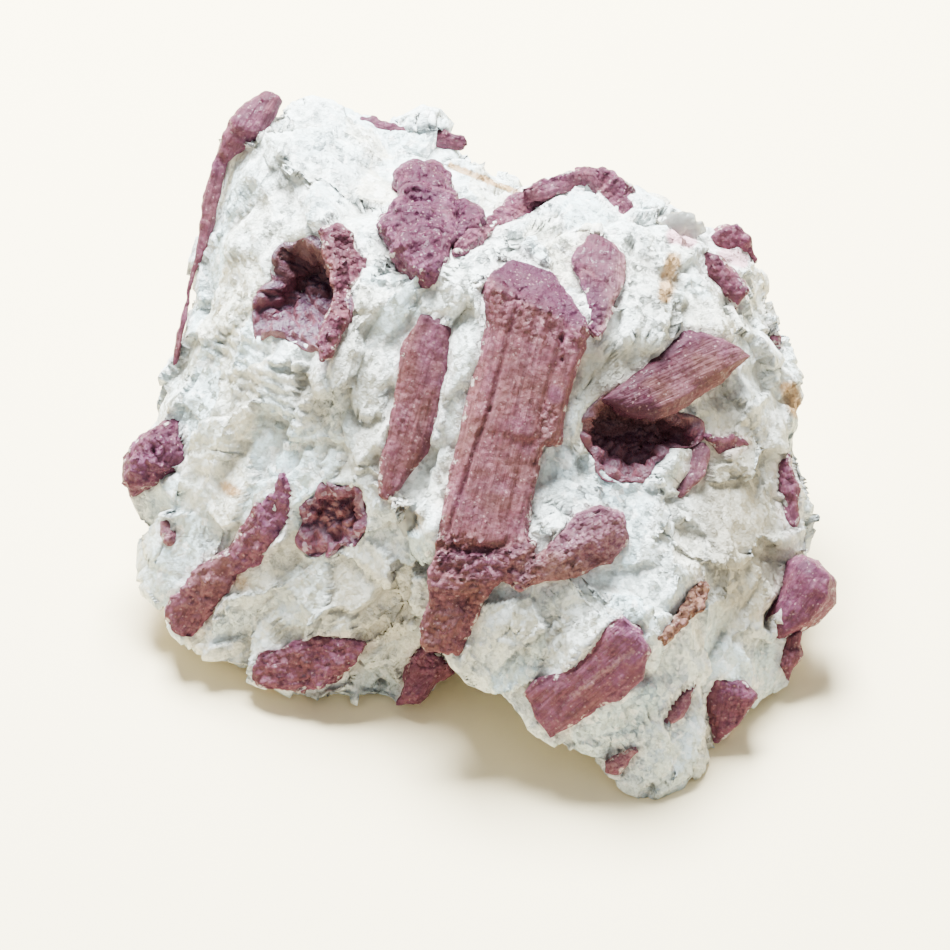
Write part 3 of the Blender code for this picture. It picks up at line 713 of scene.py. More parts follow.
CRYSTALS = {
    "main_prism": [
        Lump((9.4, 24.8), (0.6, -13.4), (6.4, 6.8), 2.4, out=(12, 15),
             slant=((7.4, 16.6, 15.4), (0.34, 0.76, 0.55)), form="grooved", outline=[
            (0.2, 19.2), (2.8, 22.8), (5.9, 24.4), (10.2, 21.5), (13.4, 15.8), (13.8, 13.6), (12.1, 8),
            (10.9, 3.9), (10.6, -0.4), (8.2, -0.2), (7.4, -3.9), (6.2, -9.9), (6.5, -13.2), (-5.2, -13.6),
            (-4.8, -9.8), (-2.9, -0.8), (-1.5, 5.5), (0.4, 12.8), (0.8, 14.8), (0.4, 17.2)]),
        Lump((-4.6, -15.6), (6.8, -16.6), (3.2, 3.2), 1.7, out=(15, 16), form="round", outline=[
            (-5.2, -12.8), (7.2, -12), (6.5, -14.5), (5.2, -17.8), (2.8, -17.2), (0.8, -19.5), (-6, -19.5),
            (-6.2, -15.8)]),
        Lump((-1.6, -14), (-4.6, -26.4), (4, 3.3), 1.2, out=(15.6, 13.6), form="round", outline=[
            (-6, -18.2), (1.2, -18.2), (-0.5, -22.8), (-2, -26.2), (-4.8, -25.8), (-7.4, -24.9),
            (-6.8, -21.4)]),
        Lump((5.4, -16.6), (17.8, -9.4), (3.9, 4.3), 2, form="round", outline=[
            (4.2, -17.8), (5.8, -15.2), (9.8, -11), (12.1, -8.5), (15.2, -7.4), (18, -8.5), (18.8, -12),
            (16.6, -14.5), (13.2, -16.2), (9.8, -17), (7.1, -17.4), (5.2, -18.5)]),
    ],
    "slim_prism": [Lump((-5.8, 16.4), (-11.8, -6.9), (3.3, 1.5), 0.98, outline=[
        (-9.5, 12.4), (-7.2, 16.2), (-4.8, 15.8), (-3.2, 14.2), (-3.5, 9.2), (-4.8, 3), (-6.2, -1.4),
        (-7.9, -3.2), (-9.5, -5.5), (-11, -7.2), (-12.5, -6.5), (-12.2, -2), (-10.8, 4.2)])],
    "shoulder_crystal": [Lump((16, 26.3), (15, 13.4), (3.4, 1.5), 1.04, outline=[
        (11.5, 22.8), (13.2, 25.8), (15, 26.1), (17, 25.1), (18.5, 23), (18, 19.2), (16.1, 15.2), (15, 13),
        (13.8, 14), (13.5, 18)])],
    "cave_prism": [Lump((33.9, 11.6), (15.4, 3.4), (4.3, 3.7), 1.56, outline=[
        (20.2, 9.4), (25.4, 14.1), (27.8, 14.1), (32.2, 12.4), (34, 10.9), (29.9, 7.2), (24.5, 3.6),
        (21.5, 2.9), (18.8, 3.5), (15.5, 5.5), (17.5, 7.2)])],
    "brow_prism": [Lump((19.2, -23.6), (7.6, -34), (4.4, 4.1), 0.85, outline=[
        (5.8, -30.8), (6.9, -29.2), (10.1, -28.4), (13.1, -26), (16.1, -22), (17.6, -21), (20, -23.2),
        (21.2, -26.2), (20.2, -29.2), (17.9, -31.6), (14.9, -32.8), (11.9, -34.9), (9, -36.4),
        (6.9, -33.4)])],
    "left_long_prism": [Lump((-23.8, -4), (-37, -22.4), (2.7, 3.4), 0.78, outline=[
        (-24.2, -3.8), (-23, -5.4), (-23.4, -9.5), (-26.4, -14.2), (-29.9, -16.6), (-31.8, -19.6),
        (-34.4, -23.2), (-35.9, -24.5), (-38.2, -23.2), (-39.1, -20.9), (-35.9, -16.1), (-34.8, -14.9),
        (-31.1, -13.1), (-28.1, -8.2), (-25.1, -4.8)])],
    "ridge_crystal": [
        Lump((-3, 24), (6, 31.4), (1.7, 1.6), 0.91, outline=[
            (-3.1, 23.6), (-2.3, 25.7), (2.4, 29.4), (5.4, 31.9), (7.2, 31.3), (8.5, 29.4), (5.4, 27.6),
            (2.4, 26.7), (-0.9, 23.5)]),
        Lump((4.8, 30.8), (15.4, 33.2), (1.5, 1.5), 0.78, out=(-0.5, -3.5), form="round", outline=[
            (4.9, 31.9), (10.1, 33.8), (13.3, 34.3), (13.4, 32.5), (9, 30.7), (6.9, 30.2)]),
        Lump((14, 34), (18, 28.4), (2.8, 2.9), 1.04, out=(-3, -0.5), form="round", outline=[
            (12.5, 34.5), (16.1, 34.6), (18.9, 32.6), (19.2, 28.8), (17.9, 28.2), (15.2, 31.3),
            (13, 32.3)]),
    ],
    "upper_cluster": [
        Lump((-6.6, 35), (-6.6, 28.8), (4.1, 4.3), 2.7, form="round", outline=[
            (-10.2, 30.6), (-10.7, 32.8), (-8.7, 34.3), (-6, 34.8), (-3.3, 33.7), (-2.5, 31.2),
            (-4.2, 29.4), (-9, 29.1)]),
        Lump((-7.1, 30.4), (-7, 20.8), (4.9, 5.2), 3.1, form="round", outline=[
            (-12.1, 28.2), (-10.5, 30.1), (-5.4, 31.2), (-2.3, 29.5), (-1.7, 26.4), (-2.9, 23.1),
            (-5.4, 20.9), (-8.4, 21.5), (-11.1, 23.3), (-12.3, 26.2)]),
        Lump((-0.5, 30), (-1, 25.4), (2, 2), 2, form="round", outline=[
            (-3, 29.5), (0.6, 28.5), (0.9, 27.2), (-1.1, 25.1), (-2.9, 24.5)]),
    ],
    "edge_prism": [
        Lump((-31.2, 40.6), (-37.9, 9.6), (1.2, 0.9), 0, out=(-7.6, -7.6), outline=[
            (-32.3, 38.4), (-31.2, 36.5), (-32.9, 28.2), (-33.8, 24.9), (-35.5, 21.5), (-36.6, 15.6),
            (-37.7, 10.2), (-38.5, 9.4), (-38.2, 13.2), (-36.1, 21.6), (-34.8, 30), (-33.6, 35.3)]),
        Lump((-29, 39.1), (-26.2, 43.6), (2.7, 2.4), 0, out=(-5.6, -7.6), form="round", outline=[
            (-31.6, 40.8), (-29.3, 43), (-26.6, 44.4), (-24.6, 43.2), (-25.2, 41.3), (-26.6, 39.4),
            (-27.5, 38.1), (-29.6, 38.3), (-31.8, 37.7)]),
        Lump((-31.9, 37.6), (-29.4, 41.4), (1.5, 1.6), 0, out=(-6.6, -6), form="round", outline=[
            (-32.3, 39.5), (-29.3, 38.8), (-28.2, 37.6), (-29.9, 36.4), (-31.6, 35.5), (-32.5, 36.5)]),
    ],
    "crest_prism": [Lump((-15.2, 40.4), (-1.6, 37.9), (1.3, 1.3), 0.26, square=8, out=(-11.4, -10.8))],
    "left_knob": [Lump((-39.8, 3.4), (-42.4, -6.8), (3.6, 3.9), 0, deep=1, out=(-3.4, -3.4),
                       form="round", outline=[
        (-38.5, 3.2), (-37.1, 2.8), (-36.8, -1.8), (-37.6, -3.5), (-41.2, -5.4), (-43.6, -6.5),
        (-44.9, -4.8), (-44.5, -1.8), (-42.5, 1.2)])],
    "left_bud": [Lump((-39.3, -8.9), (-38.3, -12.9), (1.6, 1.5), 1.1, form="round", outline=[
        (-40, -10), (-38.8, -9.1), (-37.4, -11.5), (-38, -12.9), (-39.5, -12.5)])],
    "hollow_column": [Lump((-17.3, 27), (-16.6, 13.2), (2.7, 1.9), 0.65, form="round", outline=[
        (-19.8, 26.5), (-18, 27.2), (-15.6, 26), (-14, 22.8), (-14.4, 20.8), (-15.9, 19), (-16, 15.5),
        (-17.8, 11.8), (-19.2, 10.5), (-20, 12.4), (-18.5, 16.5), (-18, 19.2), (-18.8, 22.8)])],
    "corner_knob": [Lump((28, 27.2), (34.8, 24), (2.3, 2.2), 0.78, out=(-7, -9.6), form="round", outline=[
        (28.8, 26), (30.5, 27.2), (32.5, 27.8), (34.1, 26.4), (34.8, 23.2), (31.6, 24.2), (29.6, 24.6)])],
    "corner_crystal": [Lump((29.3, 23.2), (32.5, 17.4), (2.6, 2.5), 0.78, outline=[
        (28.1, 24.2), (30.5, 23.8), (33.9, 19.2), (32.1, 17), (28, 21.4)])],
    "right_sliver": [Lump((37.2, 15.2), (38.4, 12.4), (0.9, 0.9), 0.13, out=(-9, -9), outline=[
        (36.4, 15.2), (38, 14), (38, 12.2), (36.8, 13.2)])],
    "cave_blade": [Lump((28, 1), (25.4, -6.2), (1.4, 1.2), 0.45, outline=[
        (26.5, 0.5), (28.5, 0.2), (29.2, -1.2), (28.4, -3.5), (25.4, -6.5), (24.1, -6), (26.2, -2.9)])],
    "cave_sliver": [Lump((29.4, -0.3), (33.6, 0.1), (1, 0.9), 0.39, outline=[
        (28.4, 0.9), (32.9, 1.1), (33.9, -0.1), (30.1, -1.4)])],
    "side_prism": [Lump((38.4, -1.4), (39.8, -11.6), (1.8, 1.7), 0.26, out=(-2.4, -2), outline=[
        (38.8, -1.4), (40.4, -5.4), (40.1, -10.5), (38.9, -11.4), (37.4, -6.5), (37.4, -2.2)])],
    "side_knob": [Lump((43.2, -16.4), (38, -24.2), (4.2, 4.2), 0, deep=0.9, out=(2.6, 2.6), outline=[
        (38.6, -14.6), (40.2, -13.8), (42.5, -14.6), (44.9, -17), (44.9, -20), (42.6, -22.6), (38, -24.8),
        (35.6, -23), (35.2, -21.4), (37.4, -18.6)])],
    "side_bud": [Lump((39.2, -24.4), (38.3, -29.4), (1.7, 1.5), 0, out=(0.6, 0.6), form="round", outline=[
        (38.5, -23.8), (40.6, -23.1), (40.4, -26.5), (38.9, -29.4), (37.5, -27.5)])],
    "foot_crystal": [Lump((31.5, -28.2), (30.4, -35.6), (3.3, 2.9), 0.78, out=(7.6, 5.6), form="round",
                          outline=[
        (29.6, -29), (33.5, -29.8), (34.8, -31.6), (31.9, -35.8), (29.6, -37), (28.2, -34.2),
        (28.1, -31.2)])],
    "rusty_sliver": [Lump((28.6, -16.8), (22.7, -24.3), (1, 0.9), 0.39, outline=[
        (27.4, -16.8), (28.9, -18), (27, -20.9), (25.8, -22.1), (23.2, -24.8), (22.2, -24.1), (24.6, -20.8),
        (26, -18.4)])],
    "toe_blade": [Lump((26.3, -30.3), (23.2, -34.7), (1.1, 1), 0.8, outline=[
        (25.2, -30.4), (26.9, -29.6), (26.7, -32.4), (25.1, -34.3), (22.9, -35.4), (22.4, -34.6),
        (23.8, -31.9)])],
    "toe_sliver": [Lump((19.6, -37.8), (15.6, -40.4), (1.1, 1), 0.7, outline=[
        (15.8, -39.2), (19.1, -37.5), (19.9, -38.2), (17.4, -41), (16, -40.5)])],
    "lower_left_crystal": [Lump((-14.4, -24.6), (-27.4, -28.8), (3.2, 3.5), 0.65, outline=[
        (-27.5, -26.2), (-23.4, -25), (-19.8, -23.8), (-15.6, -24), (-14, -25), (-15.6, -27.4),
        (-18.5, -29.9), (-20.4, -31), (-24.5, -30.8), (-28.1, -29.9), (-28.4, -28)])],
    "bottom_crystal": [Lump((-2.8, -26), (-8.8, -31.4), (2.8, 2.5), 0.26, out=(3.6, 2.6), outline=[
        (-6.6, -24.5), (-1.8, -27.4), (-5.1, -30.4), (-7.2, -32.4), (-10, -32.4), (-9.2, -28.6),
        (-8, -25.6)])],
    "back_long_prism": [Lump((-25, 25), (-13, 8), (3.4, 3), 0.78, square=8, facing=-1)],
    "back_round_crystal": [Lump((4, 27), (10, 22), (3.2, 3), 0.78, square=3, sides=7, facing=-1)],
    "back_slim_prism": [Lump((14, 19), (27, 6), (2, 1.5), 0.59, square=6, facing=-1)],
    "back_low_crystal": [Lump((2, 13), (9, 8), (2.6, 2.2), 0.65, square=5, facing=-1)],
    "back_bud": [Lump((-30, 12), (-32, 7), (2, 1.8), 0.59, square=3, facing=-1)],
    "back_crest_prism": [Lump((20, 26), (27, 22), (1.8, 1.8), 0.52, square=7, facing=-1)],
}
GRAINS = {
    "upper_quartz": [Lump((23, 27.8), (28.2, 26), (1.9, 1.6), 0.52, form="round", outline=[
        (22.8, 27.8), (24.8, 29), (27, 28.8), (28.5, 27.2), (27.5, 25.8), (24.2, 26)])],
    "lower_quartz": [Lump((-9.4, -8), (-8.4, -10.6), (1.1, 1), 0.2, form="round", outline=[
        (-10.5, -7.2), (-8.8, -6.8), (-7.2, -8), (-7.5, -10), (-8.8, -11), (-10.2, -9.8)])],
}
HOLLOWS = {
    "upper_hollow_crust": Hollow((-22.4, 19), 5.6, seed=4, frost=0.2, gloom=0.4, outline=[
        (-24.5, 25), (-20, 24.9), (-19, 22.8), (-17.5, 19.9), (-15.9, 18.4), (-16.6, 15.8), (-17.5, 13.5),
        (-18.8, 10.8), (-20.2, 12.2), (-22.5, 12.8), (-24.1, 13), (-25.4, 14.1), (-27.5, 13.4),
        (-28.2, 15.2), (-27.5, 18.2), (-26.2, 20.5), (-25.4, 22.8)]),
    "cave_crust": Hollow((20.2, 0.6), 5.4, seed=6, frost=0.5, outline=[
        (14.2, 5.1), (16.8, 6.2), (19.2, 5.8), (22.1, 4.3), (25.2, 3.8), (27, 2.5), (27.8, 0.5),
        (26.5, -0.5), (24, -0.4), (23, -1.4), (21.5, -3.2), (19.2, -4.8), (17.5, -4.6), (15.2, -3.2),
        (14, -1.4), (13, 0.8), (13.4, 3.2)]),
    "middle_hollow_crust": Hollow((-18, -9.8), 1.8, seed=8, brown=0.2, outline=[
        (-19.1, -5.4), (-16.6, -5.2), (-15, -6), (-14, -8.2), (-14.1, -10.1), (-14.5, -11.8),
        (-16.6, -12.6), (-19.1, -13.6), (-21.1, -14.2), (-21.9, -13), (-22.1, -10.8), (-22, -8.9),
        (-21.2, -7)]),
}

# How each crystal's surface differs from the usual coat. In millimetres: how far its edges wander, streaks
# along it, flat-faced grains (rough), dents and bulges. As shares from 0 to 1: purple, brown, pale dust,
# dim faces, which is painted shade, and a skin of feldspar at its edges
COAT = dict(wander=0.3, streak=0.08, rough=0.3, dent=0.2, bulge=0, purple=0.4, brown=0.15, pale=0.3,
            dim=0.1, skin=1)
COATS = {
    "main_prism": dict(wander=0.1, streak=0.13, rough=0.1, dent=0.08, purple=0.1, brown=0.5),
    "slim_prism": dict(wander=0.12, rough=0.12, dent=0.12, purple=0.1, brown=0.55),
    "shoulder_crystal": dict(rough=0.15, brown=0.3),
    "corner_crystal": dict(dim=0.2),
    "corner_knob": dict(bulge=0.3),
    "cave_prism": dict(wander=0.12, streak=0.1, rough=0.1, dent=0.15, purple=0.1, brown=0.9, dim=0.35,
                       skin=0),
    "edge_prism": dict(wander=0.15, streak=0.12, rough=0.1, brown=0.3, skin=0.4),
    "upper_cluster": dict(rough=0.28, dent=0.4, bulge=1, purple=0.7, dim=0.3),
    "hollow_column": dict(rough=0.4, dent=0.3, bulge=0.4, purple=0.1, dim=0),
    "left_knob": dict(rough=0.4, bulge=0.4, purple=0.6, dim=0.3),
    "left_bud": dict(pale=0.8, dim=0),
    "side_knob": dict(wander=0.12, rough=0.1, dent=0.12, dim=0.25),
    "side_prism": dict(purple=0.5),
    "foot_crystal": dict(rough=0.35, bulge=0.3, purple=0.5, dim=0.1),
    "ridge_crystal": dict(rough=0.35, bulge=0.3, dim=0),
    "lower_left_crystal": dict(rough=0.45, bulge=0.4, dim=0),
    "brow_prism": dict(wander=0.2, streak=0.14, rough=0.14, dent=0.15, brown=0.25, dim=0),
    "left_long_prism": dict(rough=0.35, bulge=0.3, brown=0.3, dim=0),
    "rusty_sliver": dict(rough=0.6, brown=1),
    "cave_blade": dict(rough=0.15, brown=0.8, pale=0.5),
    "toe_blade": dict(rough=0.15, brown=0.5, pale=0.5, dim=0, skin=0.5),
    "toe_sliver": dict(brown=0.4, pale=0.6, dim=0),
}

# Lines on the crystals' faces: (right, up) of both ends, a half width, and how much rougher it is there
CRUMBS = [
    (8, -14.5, 17, -10, 4.5, 0.3), (-4, -13.5, 5, -15.5, 2.6, 0.45), (-2, -15, -5, -25, 4, 0.35),
    (-3, 3, -5.5, -12, 1, 0.25), (8.6, 4, 7, -10, 1.2, 0.25), (0.6, 18, 13, 14.5, 3.5, 0.18),
]
# or how deep a furrow is
FURROWS = [
    (5.4, 19, 1.4, 4.2, 0.45, 0.4), (1.4, 4.2, -4.3, -12.4, 0.5, 0.55), (10.2, 13.2, 10.4, 12.6, 0.4, 0.6),
    (10.4, 10.6, 10.3, 10.2, 0.35, 0.6),
]
# or how strong a tint is; the dim rows give how strong the painted shade is
TINTS = {
    "dim": [
        (4, 22.6, 13, 17, 3.2, 0.35), (15.5, 5.5, 20, 4, 3, 0.7)],
    "purple": [
        (4, 22.6, 13, 17, 3, 0.8), (9.4, 6.4, 9.6, 5.8, 1, 0.6), (-2.5, -14.5, 4.5, -15.5, 2, 0.3),
        (12, -11, 17.5, -10.5, 4, 0.5), (17.5, -22.6, 20.5, -25, 3, 0.4), (-24.5, -5, -25.5, -9, 2.5, 0.4),
        (27, 13, 33, 12, 2, 0.3), (-5.6, 14, -5, 9, 2.5, 0.4)],
    "brown": [
        (-33, -15.5, -35.5, -18, 3, 0.5), (10, -15, 12, -16, 2, 0.5)],
    "pale": [
        (8, -14.5, 17, -10, 4.5, 0.4), (11.6, -31.2, 19, -25.6, 0.35, 1), (17.8, 23, 15.8, 15, 1.3, 0.8),
        (5.5, 20.6, 7, 19.6, 1.2, 0.4), (-2, 5, -5.5, -11, 1, 0.2), (8.5, 3, 7.5, -6, 1.2, 0.2)],
}

# Lines on the stone's face: the same, and the share of the blocks' relief that goes
SMOOTH = [
    (31, -2, 33.5, -17, 6.5, 0.55), (13, 9, 24, 7.5, 4, 0.5), (9, -5, 14, -7.5, 3.5, 0.5),
]
# or the height of one layer and of its edge
LAYERS = [
    (-3.4, 9, -4, -4.5, 3.4, 1.6, 0.5), (-31, 13, -25, 5, 4.5, 1.3, 0.45),
]
# or the height of a swell
SWELLS = [
    (-14, 40, -4, 38.4, 5, 1.7),
]
# or the depth of a groove
GROOVES = [
    (32.9, -13.1, 38.8, -15, 0.5, 0.6), (-12.2, -30.3, -11.7, -30.5, 0.7, 1.8),
    (-3.4, 35, 4.8, 31.8, 0.8, 0.7), (-19.1, 10.5, -16.6, -2, 0.7, 0.5), (-16.6, -2, -10.4, -8, 0.6, 0.5),
]
# or how strong a stain is. The cool rows are painted cool light; the beige rows are partly a beige tint and
# partly painted shade and warm bounce light
STAINS = {
    "cool_tint_and_light": [
        (-33, 30, -31, 10, 7, 0.9), (-38, -6, -37, -20, 5, 0.8), (-34, 8, -26, -2, 8, 0.9),
        (-16, 38, 16, 28, 6, 0.5), (10, -3, 17, -6, 4, 0.6), (20, -18, 24, -40, 6, 0.5)],
    # Partly a beige tint, partly painted shade and warm bounce light
    "beige_tint_and_shade": [
        (-25, -16, -8, -26, 9, 0.5), (-16, 16, -13, -2, 4.5, 0.55), (-2, -22, 10, -22, 5, 0.4),
        (34, 8, 39, 1, 5, 0.35), (31, -1, 34, -17, 8, 1.1), (13, 9, 24, 7.5, 5, 0.9),
        (-21.6, 7, -20.4, 4, 2.6, 0.7), (20, 21, 28, 14, 5, 0.4)],
    "tan": [
        (-3.4, 35, 4.8, 31.8, 0.5, 1.1), (-31.4, -5.4, -30.4, -5.9, 1.2, 0.8),
        (24.3, 23, 23.3, 18.5, 1.3, 1), (39, 7, 40, 4.5, 1.6, 0.9), (-31.5, -14, -29.5, -17.5, 1.6, 0.6),
        (-9.6, -7.6, -7.8, -9.8, 1.8, 0.6)],
    "rosy": [
        (24.4, 26, 26.4, 25.6, 1.3, 1), (31.2, 23.6, 33, 23.2, 1.4, 1)],
}


class Value:
    """A socket that varies over a surface. Arithmetic on it adds Math nodes."""

    def __init__(self, paint, socket):
        self.paint, self.socket = paint, socket

    def math(self, operation, other):
        """A Math node on this and another value."""
        return self.paint.add("ShaderNodeMath", {"operation": operation}, {0: self, 1: other})

    def __add__(self, other):
        return self.math("ADD", other)

    def __mul__(self, other):
        return self.math("MULTIPLY", other)

    def __sub__(self, other):
        return self.math("SUBTRACT", other)

    def __rsub__(self, other):
        return (self * -1) + other

    __radd__ = __add__
    __rmul__ = __mul__

    def ease(self, low, high):
        """0 below low, 1 above high and smooth between them; high may be the smaller."""
        span = {"Value": self, "From Min": low, "From Max": high}
        return self.paint.add("ShaderNodeMapRange", {"interpolation_type": "SMOOTHSTEP"}, span)


class Paint:
    """A material in the making, with the Principled shader's own values set from keywords."""

    def __init__(self, name, **own):
        self.material = bpy.data.materials.new(name)
        self.material.use_nodes = True
        self.tree = self.material.node_tree
        self.shader = self.tree.nodes["Principled BSDF"]
        for socket, value in own.items():
            self.shader.inputs[socket.replace("_", " ")].default_value = value

    def plug(self, socket, value):
        """Links a varying value to a socket, or sets a plain one on it."""
        if isinstance(value, Value):
            self.tree.links.new(value.socket, socket)
        else:
            socket.default_value = (*value, 1.0) if socket.type == "RGBA" else value

    def add(self, kind, settings, inputs, output=0):
        """Adds a node: its settings first, then the values or links of its sockets."""
        node = self.tree.nodes.new(kind)
        for name, value in settings.items():
            setattr(node, name, value)
        for name, value in inputs.items():
            self.plug(node.inputs[name], value)
        return Value(self, node.outputs[output])

    def place(self):
        """Object coordinates in millimetres in the leaning frame."""
        own = self.add("ShaderNodeTexCoord", {}, {}, "Object")
        turned = {"Vector": own, "Rotation": (LEAN - np.pi / 2, 0.0, 0.0), "Scale": (1 / MM,) * 3}
        return self.add("ShaderNodeMapping", {"vector_type": "POINT"}, turned)

    def vector(self, operation, first, second, output=0):
        """A Vector Math node."""
        return self.add("ShaderNodeVectorMath", {"operation": operation}, {0: first, 1: second}, output)

    def mark(self, name, output="Fac"):
        """A value kept at the mesh's points."""
        return self.add("ShaderNodeAttribute", {"attribute_name": name}, {}, output)

    def noise(self, vector, size, detail=2.0, rough=0.5):
        """Noise from 0 to 1 with features of a size in millimetres."""
        inputs = {"Vector": vector, "Scale": 1 / size, "Detail": detail, "Roughness": rough}
        return self.add("ShaderNodeTexNoise", {}, inputs, "Fac")

    def cells(self, vector, size, output="Distance"):
        """Voronoi cells of a size in millimetres: distance to their middles, or another output."""
        return self.add("ShaderNodeTexVoronoi", {}, {"Vector": vector, "Scale": 1 / size}, output)

    def chance(self, vector, size, channel=0):
        """One number from 0 to 1 for each cell of a size in millimetres."""
        color = self.cells(vector, size, "Color")
        return self.add("ShaderNodeSeparateColor", {}, {"Color": color}, channel)

    def facets(self, vector, size):
        """Flat faces: in each cell of a size, the height of a plane with a slope of its own."""
        away = self.vector("SUBTRACT", vector, self.cells(vector, size, "Position"))
        slope = self.vector("SUBTRACT", self.cells(vector, size, "Color"), (0.5, 0.5, 0.5))
        return self.vector("DOT_PRODUCT", away, slope, "Value")

    def layers(self, color, *coats):
        """A colour with others laid over it, each by a share from 0 to 1."""
        settings = {"data_type": "RGBA", "clamp_factor": True}
        for coat, share in coats:
            color = self.add("ShaderNodeMix", settings, {0: share, 6: color, 7: coat}, 2)
        return color

    def bump(self, height, depth_mm, after=None):
        """A normal tilted by a height from 0 to 1 that stands for depth_mm."""
        inputs = {"Height": height, "Distance": depth_mm * MM, "Strength": 1.0}
        if after:
            inputs["Normal"] = after
        return self.add("ShaderNodeBump", {}, inputs)

    def finish(self, **links):
        """Links varying values to the shader, and gives the material."""
        for socket, value in links.items():
            self.plug(self.shader.inputs[socket.replace("_", " ")], value)
        return self.material


def feldspar(look):
    """White sugary feldspar: each cleaved grain its own tint, with stains, glinting flakes, painted cool
    light, and painted shade in its crevices, its hollows and on shaded faces.
    """
    paint = Paint("feldspar", IOR=1.52)
    place, mark = paint.place(), paint.mark
    facet = mark("facet") + paint.noise(place, 9.0, 4.0, 0.6) * 0.6 - 0.3
    grains = paint.chance(place, 0.8)
    ragged = paint.noise(place, 1.3, 4.0, 0.7)
    color = paint.layers(
        look.white,
        # Bluish: a tint of some cleaved grains, and painted cool light where the cool stains lie
        (look.cool_tint_and_light, facet.ease(0.35, 0.0) * 0.6 + mark("cool_tint_and_light") * 0.7),
        (look.cream, facet.ease(0.62, 1.0) * 0.8),
        # Grey glassy patches, more of them in the hollows as painted shade
        (look.glassy, paint.noise(place, 1.6, 4.0, 0.65).ease(0.52, 0.68) * (0.25 + mark("hollow") * 0.5)),
        (look.grain, grains.ease(0.7, 1.0) * 0.8),
        (look.glassy, grains.ease(0.3, 0.0) * 0.4),
        (look.glassy, paint.chance(place, 0.4, 1).ease(0.6, 1.0) * 0.45),
        # Beige: partly a beige tint, partly painted shade and warm bounce light
        (look.beige_tint_and_shade, mark("beige_tint_and_shade") * (ragged * 0.6 + 0.6)),
        (look.tan, (mark("tan") + ragged * 0.9 - 0.62).ease(0.0, 0.7)),
        (look.rosy, (mark("rosy") + ragged * 0.9 - 0.62).ease(0.0, 0.6) * 0.8),
        (look.blush, (mark("blush") + ragged - 0.75).ease(0.0, 0.7) * 0.25),
        # Painted shade in the crevices
        (look.crevice_shade, mark("crevice_shade") * 0.6))
    planes = (paint.facets(place, 1.3) + paint.facets(place, 0.55)) * (mark("patch") * 0.7 + 0.3)
    normal = paint.bump(paint.noise(place, 0.35, 3.0, 0.6), 0.2, paint.bump(planes, 1.1))
    gloss = paint.chance(place, 0.9, 2).ease(0.75, 1.0)
    return paint.finish(Base_Color=color, Roughness=0.7 - gloss * 0.48, Normal=normal)


def tourmaline(look, name="tourmaline", rust=0.0):
    """Brownish pink tourmaline: streaks along each crystal, sugary grains with painted shade between them,
    purple places, pale dust and painted shade on faces that look up.

    rust is the share of ochre over it all."""
    paint = Paint(name, IOR=1.62, Specular_IOR_Level=0.12)
    place, mark = paint.place(), paint.mark
    own = paint.vector("MULTIPLY", mark("own", "Vector"), (1.0, 1.0, 0.05))
    streaks = paint.noise(own, 0.4, 3.0, 0.6)
    clouds = paint.noise(place, 3.2, 4.0, 0.6)
    grains = paint.cells(place, 0.75)
    dust = paint.noise(place, 0.5, 4.0, 0.7)
    crumbs = paint.noise(place, 1.3, 4.0, 0.65)
    sugar = mark("sugar")
    color = paint.layers(
        look.deep,
        (look.pink, streaks.ease(0.28, 0.68)),
        (look.brown, mark("brown") * (clouds * 0.8 + 0.4)),
        (look.purple, mark("purple") * (clouds * 0.8 + 0.5)),
        (look.deep, streaks.ease(0.52, 0.36) * (1 - sugar) * 0.45),
        # Painted shade in the gaps between sugary grains
        (look.deep, grains.ease(0.45, 0.75) * sugar * 0.6),
        (look.dust, (dust + mark("pale") * 0.35 - 0.5).ease(0.1, 0.4) * 0.26),
        # Painted shade on faces that look up
        (look.shade, mark("dim") * 0.85),
        (look.dust, paint.chance(place, 0.22).ease(0.965, 1.0) * 0.35),
        (look.skin, (mark("skin") * 0.26 + crumbs - 0.78).ease(0.0, 0.1) * 0.6))
    if rust:
        color = paint.layers(color, (look.rust, (dust * 1.4 - 0.3) * rust))
    normal = paint.bump(streaks, 0.18)
    normal = paint.bump(paint.facets(place, 0.7) * (sugar + 0.1), 1.1, normal)
    normal = paint.bump(grains.ease(0.8, 0.1) * sugar + dust * 0.4, 0.2, normal)
    gloss = paint.chance(place, 0.42, 1).ease(0.7, 1.0)
    return paint.finish(Base_Color=color, Roughness=0.68 - gloss * 0.5, Normal=normal)


def druse(look):
    """The crystals that line a hollow: dark inside, a brown upper wall, a purple rim with pale tips, and
    painted shade on faces that look up and over a whole gloomy hollow.
    """
    paint = Paint("druse", IOR=1.62, Specular_IOR_Level=0.3)
    place = paint.place()
    grains = paint.chance(place, 0.6)
    edge = paint.mark("rim") + paint.noise(place, 2.0, 3.0) - 0.5
    wall = paint.mark("wall")
    frost = edge.ease(0.45, 0.9) * (1 - wall * 0.7)
    color = paint.layers(
        look.dark,
        (look.purple, edge.ease(0.2, 0.8)),
        (look.brown, wall * 0.8),
        (look.rose, frost * 0.7),
        # Painted shade on faces that look up, and over a whole gloomy hollow
        (look.shade, paint.mark("dim") * 0.65),
        (look.dust, frost * grains.ease(0.6, 1.0) * 0.55))
    normal = paint.bump(grains * 0.7 + paint.noise(place, 0.3, 3.0), 0.2)
    return paint.finish(Base_Color=color, Roughness=0.5 - grains.ease(0.7, 1.0) * 0.3, Normal=normal)


def quartz():
    """Clear grey quartz: see-through, with a faintly frosted skin."""
    paint = Paint("quartz", Base_Color=(0.80, 0.80, 0.76, 1.0), IOR=1.544, Transmission_Weight=0.85,
                  Roughness=0.28)
    return paint.finish(Normal=paint.bump(paint.noise(paint.place(), 0.6, 3.0), 0.08))


def colour(name, description, default):
    """A colour that a user may change."""
    return bpy.props.FloatVectorProperty(name=name, description=description, default=default,
                                         subtype="COLOR", size=3, min=0.0, max=1.0)


def length(name, description, default):
    """A length that a user may change."""
    return bpy.props.FloatProperty(name=name, description=description, default=default,
                                   unit="LENGTH", precision=5, min=0.0)


